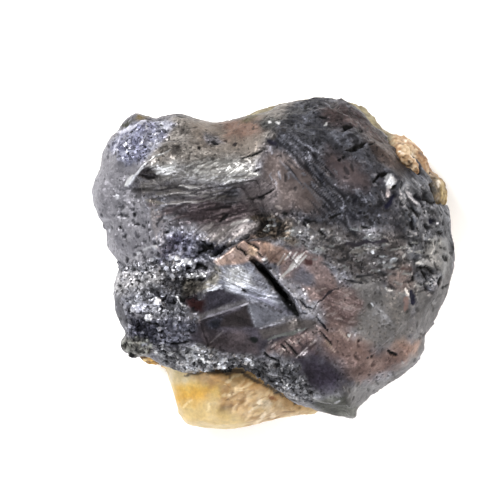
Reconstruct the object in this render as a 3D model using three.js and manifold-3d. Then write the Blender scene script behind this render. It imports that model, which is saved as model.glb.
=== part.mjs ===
// A hand specimen of galena on calcite, lying on its calcite back with the broken face up.
//
// The galena is one mass: a rounded slab drawn out to a natural outline, with its cleavage ledges, its
// bevelled flanks, an open gash, cracks and pits cut into it, and cleavage blocks fused to it. The calcite
// matrix is the slab that it grew on. It carries the galena, juts out below its lower edge as a lobe, and
// comes up past its upper right edge as two crusts.
//
// Millimetres, +Z up, +X to the right and +Y to the upper edge of the broken face. The origin is the middle
// of the bounding box, on the surface that the specimen lies on.

import * as THREE from "three";
import { ImprovedNoise } from "three/addons/math/ImprovedNoise.js";
import { mergeVertices } from "three/addons/utils/BufferGeometryUtils.js";
import Module from "manifold-3d";

const wasm = await Module();
wasm.setup();

// ---- Driving dimensions ----

const RIM_LEVEL = 15; // height of the widest outline of the galena
const FACE_LEVEL = 31; // general height of the broken face
const GALENA_FOOT = 4; // lowest galena, under its overhang
const MATRIX_RIM_LEVEL = 6.5; // height of the widest outline of the calcite
const MATRIX_TOP = 12; // height of the calcite under the galena
const MATRIX_FOOT = -3; // depth of the calcite before its flat base is cut
const MATRIX_LIFT = { below: 0.12, above: 0.05 }; // rise of its top per mm towards its lower and upper edge
const SEAM_GAP = 0.3; // clearance between the galena and the calcite
const FLANK_SPARE = 0.5; // stone outside the outline, which the flat faces of the flank take away
const GALENA_DETAIL = 11; // subdivisions of the ball that each mass is drawn from
const MATRIX_DETAIL = 6;
const OUTLINE_SAMPLES = 720;
const GRAIN_MARGIN = 5; // height above the rim that a grain keeps to
const GRAIN_TILT = 60; // degrees that a grain may lean, and turn, at most
const GRAIN_TURN = 90;
const CUT_ROOM = 14; // height of the stone that a ledge cut takes away
const SLOT_TIP = 0.15; // width of a slot's floor as a share of its mouth
const GROUND = 120; // side of the block that holds all that lies below the specimen's flat base

// How broken stone stands out: its slow swell, the size of its flat faces and how steeply they tilt.
const GALENA_ROUGHNESS = { swell: 1.1, pitch: 8, slope: 0.46 };
const CALCITE_ROUGHNESS = { swell: 0.8, pitch: 8, slope: 0.4 };
const LUMP_ROUGHNESS = { swell: 0.3, pitch: 3.4, slope: 0.3 };

// ---- Outlines, as [x, y] points in counterclockwise order ----

const GALENA_OUTLINE = [
  [36, 1], [34.8, 6], [34.2, 10.8], [32.4, 14.8], [31, 18], [28, 21], [24.2, 23.8], [20.4, 26.2],
  [18.4, 28.4], [16.6, 30.6], [13.8, 32], [10, 33.2], [6, 31.9], [1.4, 31.3], [-1.6, 29.9], [-6.3, 28.4],
  [-11.4, 27.4], [-15.8, 28.5], [-19.6, 29.5], [-23.7, 28.7], [-27.2, 29.8], [-29.8, 28.8], [-31.3, 26.8],
  [-33.6, 24], [-34.8, 20.2], [-36.2, 14.6], [-35.9, 11], [-34, 5.2], [-33, 2.2], [-30.8, -0.4],
  [-31.8, -3.6], [-32.2, -7.4], [-31.2, -10.4], [-29.4, -13.6], [-31.4, -15.9], [-30.4, -18.3],
  [-25.4, -18.6], [-20.8, -20.6], [-17, -21.9], [-13, -21.1], [-9, -20.3], [-5, -21.6], [-1, -24.3],
  [3, -27.2], [7, -29], [12.4, -30.3], [14.8, -31.5], [17, -30.2], [17.5, -27.6], [21.8, -25.2],
  [26.2, -22], [28.9, -19.4], [29.8, -14.8], [33.2, -8.7], [35.2, -3.4],
];

const MATRIX_OUTLINE = [
  [33, 0], [33.6, 6], [33.2, 12], [31.4, 17.8], [28.5, 22.6], [24.5, 25.4], [21.6, 27.8], [18.6, 31.2],
  [14.8, 32.6], [7.6, 33.2], [1, 32.2], [-2.6, 31], [-6.6, 29.5], [-11, 26.2], [-19, 28], [-25, 28.8],
  [-27.8, 30.8], [-30.4, 27.4], [-33.2, 17], [-32.4, 9], [-29.8, 1], [-29.6, -8], [-28.4, -14],
  [-30.2, -19.4], [-26.4, -20.9], [-22, -21.6], [-21.6, -24.6], [-20.3, -29], [-18.9, -31.6],
  [-15.9, -33.4], [-9.6, -33.8], [-4.8, -33.5], [-0.7, -31.9], [3.9, -31.3], [8.4, -30.8], [12, -28],
  [16, -24], [22, -20], [27, -14.5], [30.6, -7],
];

// ---- Broad relief of the broken face: where, how far it reaches along and across, its turn and rise ----

const SWELLS = [
  { name: "upper right shoulder", at: [15, 18], reach: [18, 13], turn: -20, rise: 4 },
  { name: "left crest", at: [-24, 19], reach: [9, 7], turn: 40, rise: 2.4 },
  { name: "upper saddle", at: [-11, 25], reach: [8, 5], turn: 0, rise: -2.5 },
  { name: "silky scoop", at: [-15, 11], reach: [10, 4.2], turn: 8, rise: -4.2 },
  { name: "middle bridge", at: [-2, 3], reach: [9, 6], turn: 20, rise: 1.6 },
  { name: "lower hollow", at: [6, -21], reach: [5, 4], turn: 0, rise: -3 },
  { name: "lower right swell", at: [19, -9], reach: [12, 10], turn: 40, rise: 1.8 },
  { name: "lower left fall", at: [-26, -8], reach: [8, 9], turn: 0, rise: -4 },
  { name: "left waist", at: [-31, -0.5], reach: [4, 3], turn: 0, rise: -3 },
  { name: "lower lip", at: [-10, -19], reach: [11, 2.4], turn: -6, rise: 1.2 },
];

// ---- Cleavage ledges ----
// Each is a flat floor that starts `bite` below the face at the line through `at` and falls away towards
// the direction `fall` at `dip` degrees, or climbs back to the face where the dip is negative. `run` is its
// length along that line, `width` its reach down the fall, and `roll` tips it along the line.

const LEDGES = [
  // The bevelled flanks.
  { at: [27.4, -8], bite: 1.8, fall: -19, dip: 34, roll: 4, run: 21, width: 14 },
  { at: [19.4, -17.4], bite: 1.7, fall: -50, dip: 32, roll: -3, run: 18, width: 14 },
  { at: [28.4, 4], bite: 1.5, fall: 4, dip: 40, roll: 0, run: 13, width: 12 },
  { at: [26, 17], bite: 1.2, fall: 36, dip: 38, roll: 0, run: 12, width: 10 },
  { at: [-25, 9.6], bite: 2, fall: 187, dip: 27, roll: 3, run: 22, width: 15 },
  { at: [-26, 21], bite: 1.6, fall: 134, dip: 36, roll: 0, run: 15, width: 12 },
  { at: [9, 26], bite: 1.4, fall: 86, dip: 40, roll: 0, run: 18, width: 9 },
  { at: [-17, 23.6], bite: 1.3, fall: 98, dip: 40, roll: 0, run: 16, width: 8 },
  { at: [-21, -9], bite: 1.8, fall: 197, dip: 22, roll: 0, run: 17, width: 14 },
  // The basin below the gash, with the corner where three cleavage faces meet.
  { at: [-3, -6.4], bite: 2.4, fall: -113, dip: 6, roll: -5, run: 18, width: 20 },
  { at: [-9.4, -9.6], bite: 1.2, fall: -68, dip: 18, roll: 8, run: 12, width: 14 },
  { at: [-0.6, -12.4], bite: 0.9, fall: -100, dip: 12, roll: 10, run: 9, width: 12 },
  { at: [-15, -8], bite: 1, fall: -160, dip: 10, roll: 6, run: 10, width: 9 },
  // The blades on the right of the gash, and the steps beside them.
  { at: [5.6, -2.4], bite: 1.3, fall: 222, dip: -12, roll: 2, run: 13, width: 6 },
  { at: [7.6, 2.4], bite: 1.3, fall: 222, dip: -9, roll: -3, run: 10, width: 8 },
  { at: [12.6, -6], bite: 0.9, fall: -58, dip: -4, roll: 9, run: 11, width: 12 },
  { at: [15.6, -11], bite: 0.8, fall: -46, dip: 4, roll: -11, run: 9, width: 10 },
  { at: [8.8, -14.4], bite: 1.1, fall: 238, dip: 8, roll: 4, run: 10, width: 10 },
  // The low stairs of the upper right face: long blades one behind the other.
  { at: [19.6, 12.4], bite: 0.9, fall: 226, dip: -11, roll: 6, run: 22, width: 10 },
  { at: [13, 9.6], bite: 0.8, fall: 220, dip: -9, roll: -7, run: 25, width: 9 },
  { at: [5.4, 15.6], bite: 0.7, fall: 224, dip: -7, roll: 9, run: 15, width: 10 },
  { at: [20.4, 19.4], bite: 1.3, fall: 48, dip: 16, roll: 0, run: 12, width: 9 },
  { at: [22, 4.4], bite: 1.3, fall: -44, dip: -6, roll: -6, run: 12, width: 10 },
  { at: [25.4, 9.6], bite: 1.1, fall: -30, dip: 2, roll: 6, run: 8, width: 9 },
  // The crest at the upper left, and the floors of the silky scoop.
  { at: [-25.4, 17.6], bite: 1.8, fall: -51, dip: -6, roll: 6, run: 12, width: 10 },
  { at: [-16, 19.4], bite: 0.9, fall: -84, dip: 8, roll: 8, run: 19, width: 12 },
  { at: [-14, 14.4], bite: 1.4, fall: -80, dip: -3, roll: 8, run: 22, width: 12 },
  { at: [-17, 10.6], bite: 0.8, fall: -68, dip: -6, roll: 8, run: 13, width: 6 },
  { at: [-7.6, 8.8], bite: 0.8, fall: -62, dip: -8, roll: 9, run: 12, width: 5 },
  { at: [-8.6, 4], bite: 1.4, fall: 118, dip: 2, roll: 6, run: 14, width: 9 },
  // The floor left of the pink blocks, and small steps of the right flank.
  { at: [-13.6, 1.8], bite: 1.5, fall: 214, dip: 2, roll: -6, run: 8, width: 10 },
  { at: [27, -1.6], bite: 1.3, fall: -28, dip: 4, roll: 8, run: 6, width: 8 },
];

// The flat faces round the flank: how many, how far out, how deep and how steep, and how much each differs.
// The calcite has them below its rim alone.
const UPPER_FLANK = { count: 14, share: 0.92, bite: 1, dip: 56, swing: 26, run: 15, width: 16 };
const LOWER_FLANK = { count: 13, share: 0.975, level: 11, dip: 58, swing: 24, run: 17, width: 16 };
const CALCITE_FLANK = { count: 12, share: 0.98, level: 4.4, dip: 52, swing: 24, run: 20, width: 16 };

// ---- The gash, the cracks and the pits: tapered slots from one end to the other ----

const SLOTS = [
  { name: "gash", from: [-5.8, 1.7], to: [5.6, -11], width: 2.4, depth: 9 },
  { name: "gash, ragged lower side", from: [-1.6, -4.2], to: [3.2, -9.4], width: 1.8, depth: 7 },
  { name: "bridge crack", from: [-12.4, 1.4], to: [-8.6, 4.2], width: 0.9, depth: 3.4 },
  { name: "bridge crack", from: [-9.2, 3.7], to: [-4.4, 6], width: 0.8, depth: 3 },
  { name: "block crack", from: [-8.2, 3.6], to: [-5, 1.4], width: 0.55, depth: 2 },
  { name: "block crack", from: [-5.8, 4.6], to: [-3, 2.6], width: 0.55, depth: 2 },
  { name: "dark pit", from: [-15.8, 4.4], to: [-12, 2.4], width: 1.3, depth: 2 },
  { name: "dark pit", from: [-15.2, 0.2], to: [-13.2, -0.5], width: 1.1, depth: 1.8 },
  { name: "crest pit", from: [-26.4, 17.4], to: [-23, 16.4], width: 1.5, depth: 2 },
  { name: "saddle crack", from: [-7, 21.2], to: [-2, 23.6], width: 0.7, depth: 2.2 },
  { name: "scoop crack", from: [-4.6, 12.8], to: [0.2, 15.4], width: 0.7, depth: 2.2 },
  { name: "shoulder crack", from: [13.6, 22.2], to: [17.6, 23.8], width: 1.3, depth: 2.6 },
  { name: "shoulder crack", from: [17, 23.6], to: [19.4, 24.6], width: 0.7, depth: 1.8 },
  { name: "shoulder pit", from: [13.2, 27], to: [15.8, 26.6], width: 1.1, depth: 2 },
  { name: "face crack", from: [9.8, 9], to: [14, 10.6], width: 0.7, depth: 2 },
  { name: "flank crack", from: [25.4, 15.2], to: [31, 11.6], width: 1.2, depth: 2.6 },
  { name: "flank crack", from: [27.4, 0.4], to: [31, -2.2], width: 0.8, depth: 2.4 },
  { name: "flank pit", from: [27.8, -5], to: [28, -8], width: 1.4, depth: 2 },
  { name: "low crack", from: [2.2, -15], to: [4.8, -19], width: 0.6, depth: 2 },
  { name: "low crack", from: [8.8, -12.6], to: [11.8, -16.4], width: 0.5, depth: 1.8 },
  { name: "low crack", from: [17.4, -16.4], to: [19.6, -17.6], width: 0.8, depth: 1.8 },
  { name: "left slit", from: [-23.4, -13], to: [-18.6, -11.8], width: 0.8, depth: 2 },
];

// ---- Single cleavage blocks that stand proud by `rise`: where, size, turn about Z and tilt ----

const BLOCKS = [
  { name: "bright block", at: [23, 16], rise: 1.6, size: [3.6, 4.4, 5], turn: -28, tilt: [14, 22] },
  { name: "pink block", at: [-6.2, 3.1], rise: 1, size: [2.4, 2.6, 4], turn: -42, tilt: [4, -5] },
  { name: "pink block", at: [-3.4, 4.6], rise: 1.2, size: [2.6, 2.4, 4], turn: -40, tilt: [-4, -4] },
  { name: "low pink block", at: [-0.4, -17.4], rise: 0.9, size: [2.8, 2, 4], turn: -36, tilt: [8, 4] },
  { name: "flank block", at: [25.8, -6.6], rise: 1, size: [1.8, 3.2, 4], turn: 6, tilt: [0, 14] },
];

// ---- The granular corner at the lower left: small cleavage grains in rows ----

const GRAIN_PATCHES = [
  { name: "granular corner", at: [-23, -6.5], half: [7.6, 7.6], turn: 10, pitch: 3.2, size: 3.1, rise: 0.8 },
  { name: "crust over the lobe", at: [-13, -19], half: [9, 1.2], turn: -6, pitch: 2.9, size: 2.7, rise: 0.6 },
];

// ---- Calcite lumps beyond the slab, and the cleavage faces cut on them ----

const CALCITE_LUMPS = [
  { name: "brown crust", at: [25.9, 20, 8], half: [4.4, 6.2, 18], turn: 38, detail: 3 },
  { name: "yellow crust", at: [31.4, 14, 7], half: [3.2, 4.2, 14.6], turn: 22, detail: 3 },
  { name: "lobe heart", at: [-8, -24, 8], half: [12, 8.4, 9], turn: 6, detail: 3 },
];

const CALCITE_LEDGES = [
  // The lobe.
  { at: [-9, -25.6], bite: 1.2, fall: -84, dip: 28, run: 15, width: 12 },
  { at: [-15, -25.4], bite: 1, fall: -150, dip: 36, run: 14, width: 8 },
  { at: [-1, -26.4], bite: 1, fall: -52, dip: 30, run: 14, width: 9 },
  { at: [-12.4, -23], bite: 1.3, fall: -116, dip: 16, run: 9, width: 9 },
  { at: [-5, -28], bite: 0.3, fall: -128, dip: 30, run: 8, width: 6 },
  // The blunt ends of the crusts.
  { at: [26, 21], bite: 3.4, fall: 60, dip: 16, run: 10, width: 9 },
  { at: [26.8, 18.6], bite: 4, fall: 12, dip: 26, run: 8, width: 9 },
  { at: [31.6, 14.4], bite: 3.2, fall: 20, dip: 20, run: 10, width: 8 },
];

const GALENA_GREY = 0x77767c;
const CALCITE_CREAM = 0xdcc08c;

// ---- Helpers ----

const degrees = THREE.MathUtils.degToRad;
const noise = new ImprovedNoise();

/** A geometry of positions alone, with every shared corner one vertex. */
function mergedOf(geometry) {
  const bare = geometry.clone();
  bare.deleteAttribute("normal");
  bare.deleteAttribute("uv");
  return mergeVertices(bare, 1e-4);
}

/** Moves every corner out along the normal of the faces round it. */
function swellOut(geometry, grow) {
  geometry.computeVertexNormals();
  const [place, normal] = [geometry.getAttribute("position"), geometry.getAttribute("normal")];
  const [corner, out] = [new THREE.Vector3(), new THREE.Vector3()];
  for (let i = 0; i < place.count; i++) {
    corner.fromBufferAttribute(place, i).addScaledVector(out.fromBufferAttribute(normal, i), grow);
    place.setXYZ(i, ...corner.toArray());
  }
}

/** A closed geometry as a manifold-3d solid, with every face moved out by `grow`. */
function solidOf(geometry, grow = 0) {
  const merged = mergedOf(geometry);
  if (grow > 0) swellOut(merged, grow);
  return new wasm.Manifold(
    new wasm.Mesh({
      numProp: 3,
      vertProperties: merged.getAttribute("position").array,
      triVerts: new Uint32Array(merged.index.array),
    }),
  );
}

/** A manifold-3d solid as a geometry. */
function geometryOf(solid) {
  const mesh = solid.getMesh();
  const geometry = new THREE.BufferGeometry();
  geometry.setAttribute("position", new THREE.BufferAttribute(mesh.vertProperties, 3));
  geometry.setIndex(new THREE.BufferAttribute(mesh.triVerts, 1));
  return geometry;
}

/** The largest body of a solid: chips that the cuts have freed fall away. */
function mainBody(solid) {
  return solid.decompose().reduce((a, b) => (b.volume() > a.volume() ? b : a));
}

/** The distance from the origin to a closed smooth outline, as a function of the angle. */
function reachOf(points) {
  const places = points.map(([x, y]) => new THREE.Vector3(x, y, 0));
  const curve = new THREE.CatmullRomCurve3(places, true, "centripetal");
  const samples = curve
    .getPoints(OUTLINE_SAMPLES)
    .map((p) => ({ angle: Math.atan2(p.y, p.x), reach: Math.hypot(p.x, p.y) }))
    .sort((a, b) => a.angle - b.angle);
  return (turn) => {
    const angle = Math.atan2(Math.sin(turn), Math.cos(turn));
    const after = samples.findIndex((s) => s.angle > angle);
    const high = samples[after === -1 ? 0 : after];
    const low = samples[(after <= 0 ? samples.length : after) - 1];
    const span = THREE.MathUtils.euclideanModulo(high.angle - low.angle, 2 * Math.PI);
    const part = THREE.MathUtils.euclideanModulo(angle - low.angle, 2 * Math.PI);
    return THREE.MathUtils.lerp(low.reach, high.reach, span > 0 ? part / span : 0);
  };
}

/** How far the broad relief lifts the face at a place. */
function swellAt(x, y) {
  let rise = 0;
  for (const swell of SWELLS) {
    const [c, s] = [Math.cos(degrees(swell.turn)), Math.sin(degrees(swell.turn))];
    const [dx, dy] = [x - swell.at[0], y - swell.at[1]];
    const along = (dx * c + dy * s) / swell.reach[0];
    const across = (-dx * s + dy * c) / swell.reach[1];
    rise += swell.rise * Math.exp(-(along * along + across * across));
  }
  return rise;
}

/** The flat faces of broken stone: a cell of space tilts everything in it the same way. */
function cragAt(x, y, z, pitch, slope) {
  const cell = [x, y, z].map((value) => Math.floor(value / pitch));
  const chance = (i, j, k, n) => 1.4 * noise.noise(i * 1.37 + n, j * 1.91 - n, k * 1.53 + 0.7 * n);
  let nearest = Infinity;
  let lift = 0;
  for (let i = cell[0] - 1; i <= cell[0] + 1; i++) {
    for (let j = cell[1] - 1; j <= cell[1] + 1; j++) {
      for (let k = cell[2] - 1; k <= cell[2] + 1; k++) {
        const dx = x - pitch * (i + 0.5 + 0.5 * chance(i, j, k, 0.31));
        const dy = y - pitch * (j + 0.5 + 0.5 * chance(i, j, k, 0.47));
        const dz = z - pitch * (k + 0.5 + 0.5 * chance(i, j, k, 0.59));
        const away = dx * dx + dy * dy + dz * dz;
        if (away >= nearest) continue;
        nearest = away;
        lift = dx * chance(i, j, k, 3.3) + dy * chance(i, j, k, 4.7) + dz * chance(i, j, k, 5.9);
      }
    }
  }
  return slope * lift;
}

/** How far broken stone stands out: a slow swell and the flat faces on it. */
function roughness(x, y, z, { swell, pitch, slope }) {
  return swell * noise.noise(x / 8, y / 8, z / 8) + cragAt(x, y, z, pitch, slope);
}

/**
 * A ball drawn out to an outline, as a rounded slab of broken stone.
 * @param {object} form reach, rim level, top and foot heights as functions of x and y, the exponents that
 *   shape its upper and lower edge, and its roughness.
 */
function drawnSlab({ detail, reach, rim, top, foot, upper, lower, rough }, grow = 0) {
  const geometry = mergedOf(new THREE.IcosahedronGeometry(1, detail));
  const place = geometry.getAttribute("position");
  for (let i = 0; i < place.count; i++) {
    const [ux, uy, uz] = [place.getX(i), place.getY(i), place.getZ(i)];
    const away = Math.acos(Math.min(1, Math.abs(uz)));
    const share = (Math.sin(away) + away / (Math.PI / 2)) / 2; // 0 at the middle, 1 at the rim
    const angle = Math.atan2(uy, ux);
    const x = reach(angle) * share * Math.cos(angle);
    const y = reach(angle) * share * Math.sin(angle);
    const [end, [p, q]] = uz >= 0 ? [top(x, y), upper] : [foot(x, y), lower];
    const z = rim + (end - rim) * Math.pow(1 - Math.pow(share, p), 1 / q);
    const out = roughness(x, y, z, rough) * (1 - 0.8 * Math.pow(share, 8));
    place.setXYZ(i, x + out * ux, y + out * uy, z + out * uz);
  }
  return solidOf(geometry, grow);
}

/** The stone above a ledge's floor, with every side of the cut moved in by `spare`. */
function ledgeCut({ at, bite, fall, dip, roll = 0, run, width }, faceAt, spare = 0) {
  const box = new THREE.BoxGeometry(width - 2 * spare, run - 2 * spare, CUT_ROOM);
  box.translate(width / 2, 0, CUT_ROOM / 2 + spare).rotateX(degrees(roll));
  box.rotateY(degrees(dip)).rotateZ(degrees(fall)).translate(at[0], at[1], faceAt(...at) - bite);
  return solidOf(box);
}

/** The stone outside the flat faces that ring the upper flank. */
function upperFlankCuts({ count, share, bite, dip, swing, run, width }, reach, faceAt) {
  return Array.from({ length: count }, (_, i) => {
    const drift = (k) => noise.noise(i * 0.9 + k, k, 0.5);
    const turn = 360 * (i / count) + swing * drift(1.3);
    const angle = degrees(turn);
    const at = [reach(angle) * share * Math.cos(angle), reach(angle) * share * Math.sin(angle)];
    const face = { at, bite, fall: turn + swing * drift(2.7), dip: dip + swing * drift(4.1), run, width };
    return ledgeCut({ ...face, roll: swing * drift(5.3) }, faceAt);
  });
}

/** The stone outside the flat faces that ring the overhang below the rim. */
function lowerFlankCuts({ count, share, level, dip, swing, run, width }, reach) {
  return Array.from({ length: count }, (_, i) => {
    const drift = (k) => noise.noise(i * 0.9 + k, k, 8.5);
    const turn = 360 * (i / count) + swing * drift(1.3);
    const out = reach(degrees(turn)) * share;
    const box = new THREE.BoxGeometry(width, run, CUT_ROOM).translate(-width / 2, 0, -CUT_ROOM / 2);
    box.rotateX(degrees(swing * drift(5.3))).rotateY(degrees(-dip - swing * drift(4.1)));
    return solidOf(box.translate(out, 0, level).rotateZ(degrees(turn)));
  });
}

/** A slot that tapers downwards and towards both ends, deep below the face at its middle. */
function slotCut({ from, to, width, depth }, faceAt) {
  const run = Math.hypot(to[0] - from[0], to[1] - from[1]);
  const [x, y] = [(from[0] + to[0]) / 2, (from[1] + to[1]) / 2];
  const height = depth + CUT_ROOM;
  const slot = new THREE.CylinderGeometry(1, SLOT_TIP, height, 6, 1, false, Math.PI / 2);
  slot.rotateX(Math.PI / 2); // a six-sided spindle, with a point at each end of the slot
  // The slot has its width where it meets the face.
  const flare = SLOT_TIP + (1 - SLOT_TIP) * (depth / height);
  slot.scale(run / 2 / flare, width / 2 / flare, 1).translate(0, 0, height / 2 - depth);
  slot.rotateZ(Math.atan2(to[1] - from[1], to[0] - from[0])).translate(x, y, faceAt(x, y));
  return solidOf(slot);
}

/** A cleavage block, turned and tilted, that stands `rise` above the face. */
function blockOf({ at, rise, size, turn, tilt }, faceAt) {
  const box = new THREE.BoxGeometry(...size).rotateX(degrees(tilt[0])).rotateY(degrees(tilt[1]));
  const z = faceAt(...at) + rise - size[2] / 2;
  return solidOf(box.rotateZ(degrees(turn)).translate(at[0], at[1], z));
}

/** Reads the height of a solid's upper surface at a place, or null beyond its outline. */
function faceReader(solid) {
  const mesh = new THREE.Mesh(geometryOf(solid), new THREE.MeshBasicMaterial({ side: THREE.DoubleSide }));
  const ray = new THREE.Raycaster();
  return (x, y) => {
    ray.set(new THREE.Vector3(x, y, 100), new THREE.Vector3(0, 0, -1));
    const [hit] = ray.intersectObject(mesh);
    return hit ? hit.point.z : null;
  };
}

/** The grains of a patch: small blocks in rows, each turned and tilted its own way. */
function grainsOf({ at, half, turn, pitch, size, rise }, faceAt) {
  const grains = [];
  const [c, s] = [Math.cos(degrees(turn)), Math.sin(degrees(turn))];
  for (let u = -half[0]; u <= half[0]; u += pitch) {
    for (let v = -half[1]; v <= half[1]; v += pitch) {
      const drift = (k) => noise.noise(u * 1.7 + k, v * 1.7 - k, 3.3 * k);
      const [du, dv] = [u + pitch * drift(1.5), v + pitch * drift(2.5)];
      const place = [at[0] + du * c - dv * s, at[1] + du * s + dv * c];
      if (faceAt(...place) < RIM_LEVEL + GRAIN_MARGIN) continue; // none hangs over the rim
      const side = size * (1 + 0.5 * drift(3.5));
      const grain = {
        at: place,
        rise,
        size: [side, side * 0.9, side],
        turn: turn + GRAIN_TURN * drift(6.5),
        tilt: [GRAIN_TILT * drift(4.5), GRAIN_TILT * drift(5.5)],
      };
      grains.push(blockOf(grain, faceAt));
    }
  }
  return grains;
}

/** A lump of broken stone. */
function lumpOf({ at, half, turn, detail }, rough, grow) {
  const geometry = mergedOf(new THREE.IcosahedronGeometry(1, detail));
  const place = geometry.getAttribute("position");
  for (let i = 0; i < place.count; i++) {
    const corner = new THREE.Vector3().fromBufferAttribute(place, i).multiply(new THREE.Vector3(...half));
    const out = 1 + roughness(corner.x + at[0], corner.y + at[1], corner.z, rough) / half[0];
    place.setXYZ(i, ...corner.multiplyScalar(out).toArray());
  }
  return solidOf(geometry.rotateZ(degrees(turn)).translate(...at), grow);
}

// ---- The calcite matrix ----

/** The calcite before its lumps are cleaved, with every face moved out by `grow`. */
function roundCalcite(grow) {
  const slab = {
    detail: MATRIX_DETAIL,
    reach: reachOf(MATRIX_OUTLINE),
    rim: MATRIX_RIM_LEVEL,
    top: (x, y) => MATRIX_TOP + (y < 0 ? -MATRIX_LIFT.below * y : MATRIX_LIFT.above * y),
    foot: () => MATRIX_FOOT,
    upper: [9, 2],
    lower: [4, 2],
    rough: CALCITE_ROUGHNESS,
  };
  const lumps = CALCITE_LUMPS.map((lump) => lumpOf(lump, LUMP_ROUGHNESS, grow));
  return lumps.reduce((stone, lump) => stone.add(lump), drawnSlab(slab, grow));
}

const roundCalciteFaceAt = faceReader(roundCalcite(0));

/** The calcite, with every face moved out by `grow`. */
function calcite(grow) {
  const cuts = CALCITE_LEDGES.map((face) => ledgeCut(face, roundCalciteFaceAt, grow));
  return cuts.reduce((stone, cut) => stone.subtract(cut), roundCalcite(grow));
}

/** The calcite with the faces round its flank and the flat patch that it lies on. */
function matrix() {
  const underground = solidOf(new THREE.BoxGeometry(GROUND, GROUND, GROUND).translate(0, 0, -GROUND / 2));
  const cuts = [...lowerFlankCuts(CALCITE_FLANK, reachOf(MATRIX_OUTLINE)), underground];
  return mainBody(cuts.reduce((stone, cut) => stone.subtract(cut), calcite(0)));
}

// ---- The galena ----

function galena() {
  const outline = reachOf(GALENA_OUTLINE);
  const reach = (angle) => outline(angle) + FLANK_SPARE;
  let stone = drawnSlab({
    detail: GALENA_DETAIL,
    reach,
    rim: RIM_LEVEL,
    top: (x, y) => FACE_LEVEL + swellAt(x, y),
    foot: () => GALENA_FOOT,
    upper: [4.5, 1.7],
    lower: [6, 2],
    rough: GALENA_ROUGHNESS,
  });
  for (const cut of upperFlankCuts(UPPER_FLANK, reach, faceReader(stone))) stone = stone.subtract(cut);
  for (const cut of lowerFlankCuts(LOWER_FLANK, reach)) stone = stone.subtract(cut);
  for (const ledge of LEDGES) stone = stone.subtract(ledgeCut(ledge, faceReader(stone)));
  const faceAt = faceReader(stone);
  for (const block of BLOCKS) stone = stone.add(blockOf(block, faceAt));
  for (const patch of GRAIN_PATCHES) {
    for (const grain of grainsOf(patch, faceAt)) stone = stone.add(grain);
  }
  for (const slot of SLOTS) stone = stone.subtract(slotCut(slot, faceAt));
  return mainBody(stone.subtract(calcite(SEAM_GAP)));
}

// ---- The specimen ----

const galenaMesh = new THREE.Mesh(
  geometryOf(galena()),
  new THREE.MeshStandardMaterial({ color: GALENA_GREY, roughness: 0.38, metalness: 0.85 }),
);
galenaMesh.name = "galena";

const matrixMesh = new THREE.Mesh(
  geometryOf(matrix()),
  new THREE.MeshStandardMaterial({ color: CALCITE_CREAM, roughness: 0.5, metalness: 0 }),
);
matrixMesh.name = "calcite_matrix";

const specimen = new THREE.Group();
specimen.add(galenaMesh, matrixMesh);

// The bounding box is brought over the origin.
const middle = new THREE.Box3().setFromObject(specimen).getCenter(new THREE.Vector3());
specimen.position.set(-middle.x, -middle.y, 0);

export default specimen;
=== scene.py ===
"""Dresses a hand specimen of galena on calcite, lying on its calcite back with the broken face up.

The two CAD solids give the form. Each is copied, remeshed finely and worked over in millimetres: the galena
gets the relief of its cleavage domains (silky fibres, stairs, grains, flat planes), its cracks and pits, and
the calcite its flat cleavage faces and crusts. Small cleavage cubes are then scattered on the granular parts.
"""

import logging
import math
from collections.abc import Callable, Iterable
from dataclasses import dataclass, field, replace
from enum import Enum
from itertools import product
from typing import ClassVar

import bmesh
import bpy
import numpy as np
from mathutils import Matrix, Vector
from mathutils.bvhtree import BVHTree


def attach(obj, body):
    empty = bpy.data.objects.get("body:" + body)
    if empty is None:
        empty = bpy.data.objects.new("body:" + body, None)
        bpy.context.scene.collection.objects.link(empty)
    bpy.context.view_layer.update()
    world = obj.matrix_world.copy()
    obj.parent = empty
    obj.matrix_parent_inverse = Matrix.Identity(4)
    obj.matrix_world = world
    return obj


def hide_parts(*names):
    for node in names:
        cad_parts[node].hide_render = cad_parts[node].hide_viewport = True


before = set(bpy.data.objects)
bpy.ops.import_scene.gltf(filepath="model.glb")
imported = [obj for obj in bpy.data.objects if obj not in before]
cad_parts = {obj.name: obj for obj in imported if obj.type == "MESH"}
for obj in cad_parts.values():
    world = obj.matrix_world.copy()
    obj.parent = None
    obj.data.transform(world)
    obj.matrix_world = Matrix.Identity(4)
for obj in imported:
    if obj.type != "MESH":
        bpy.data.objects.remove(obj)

LOG = logging.getLogger("galena")
MM = 0.001
Array = np.ndarray
Socket = bpy.types.NodeSocket


# ---- Small tools ----


def linear(code: str) -> tuple[float, float, float]:
    """Turns an sRGB hex colour into linear red, green and blue.

    Args:
        code: six hex digits, such as "77767c".

    Returns:
        The three linear values, from 0 to 1.
    """
    values = [int(code[i : i + 2], 16) / 255 for i in (0, 2, 4)]
    return tuple(v / 12.92 if v <= 0.04045 else ((v + 0.055) / 1.055) ** 2.4 for v in values)


def ease(low: float, high: float, value: Array) -> Array:
    """A smooth step from 0 at low to 1 at high; low may be the larger one."""
    share = np.clip((value - low) / (high - low), 0, 1)
    return share * share * (3 - 2 * share)


def turned(points: Array, heading: float) -> Array:
    """Turns points into axes that run along a heading, across it and up.

    Args:
        points: places in millimetres.
        heading: degrees about Z, from +X.

    Returns:
        The same places in those axes.
    """
    c, s = math.cos(math.radians(heading)), math.sin(math.radians(heading))
    x, y, z = points.T
    return np.column_stack((x * c + y * s, y * c - x * s, z))


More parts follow.
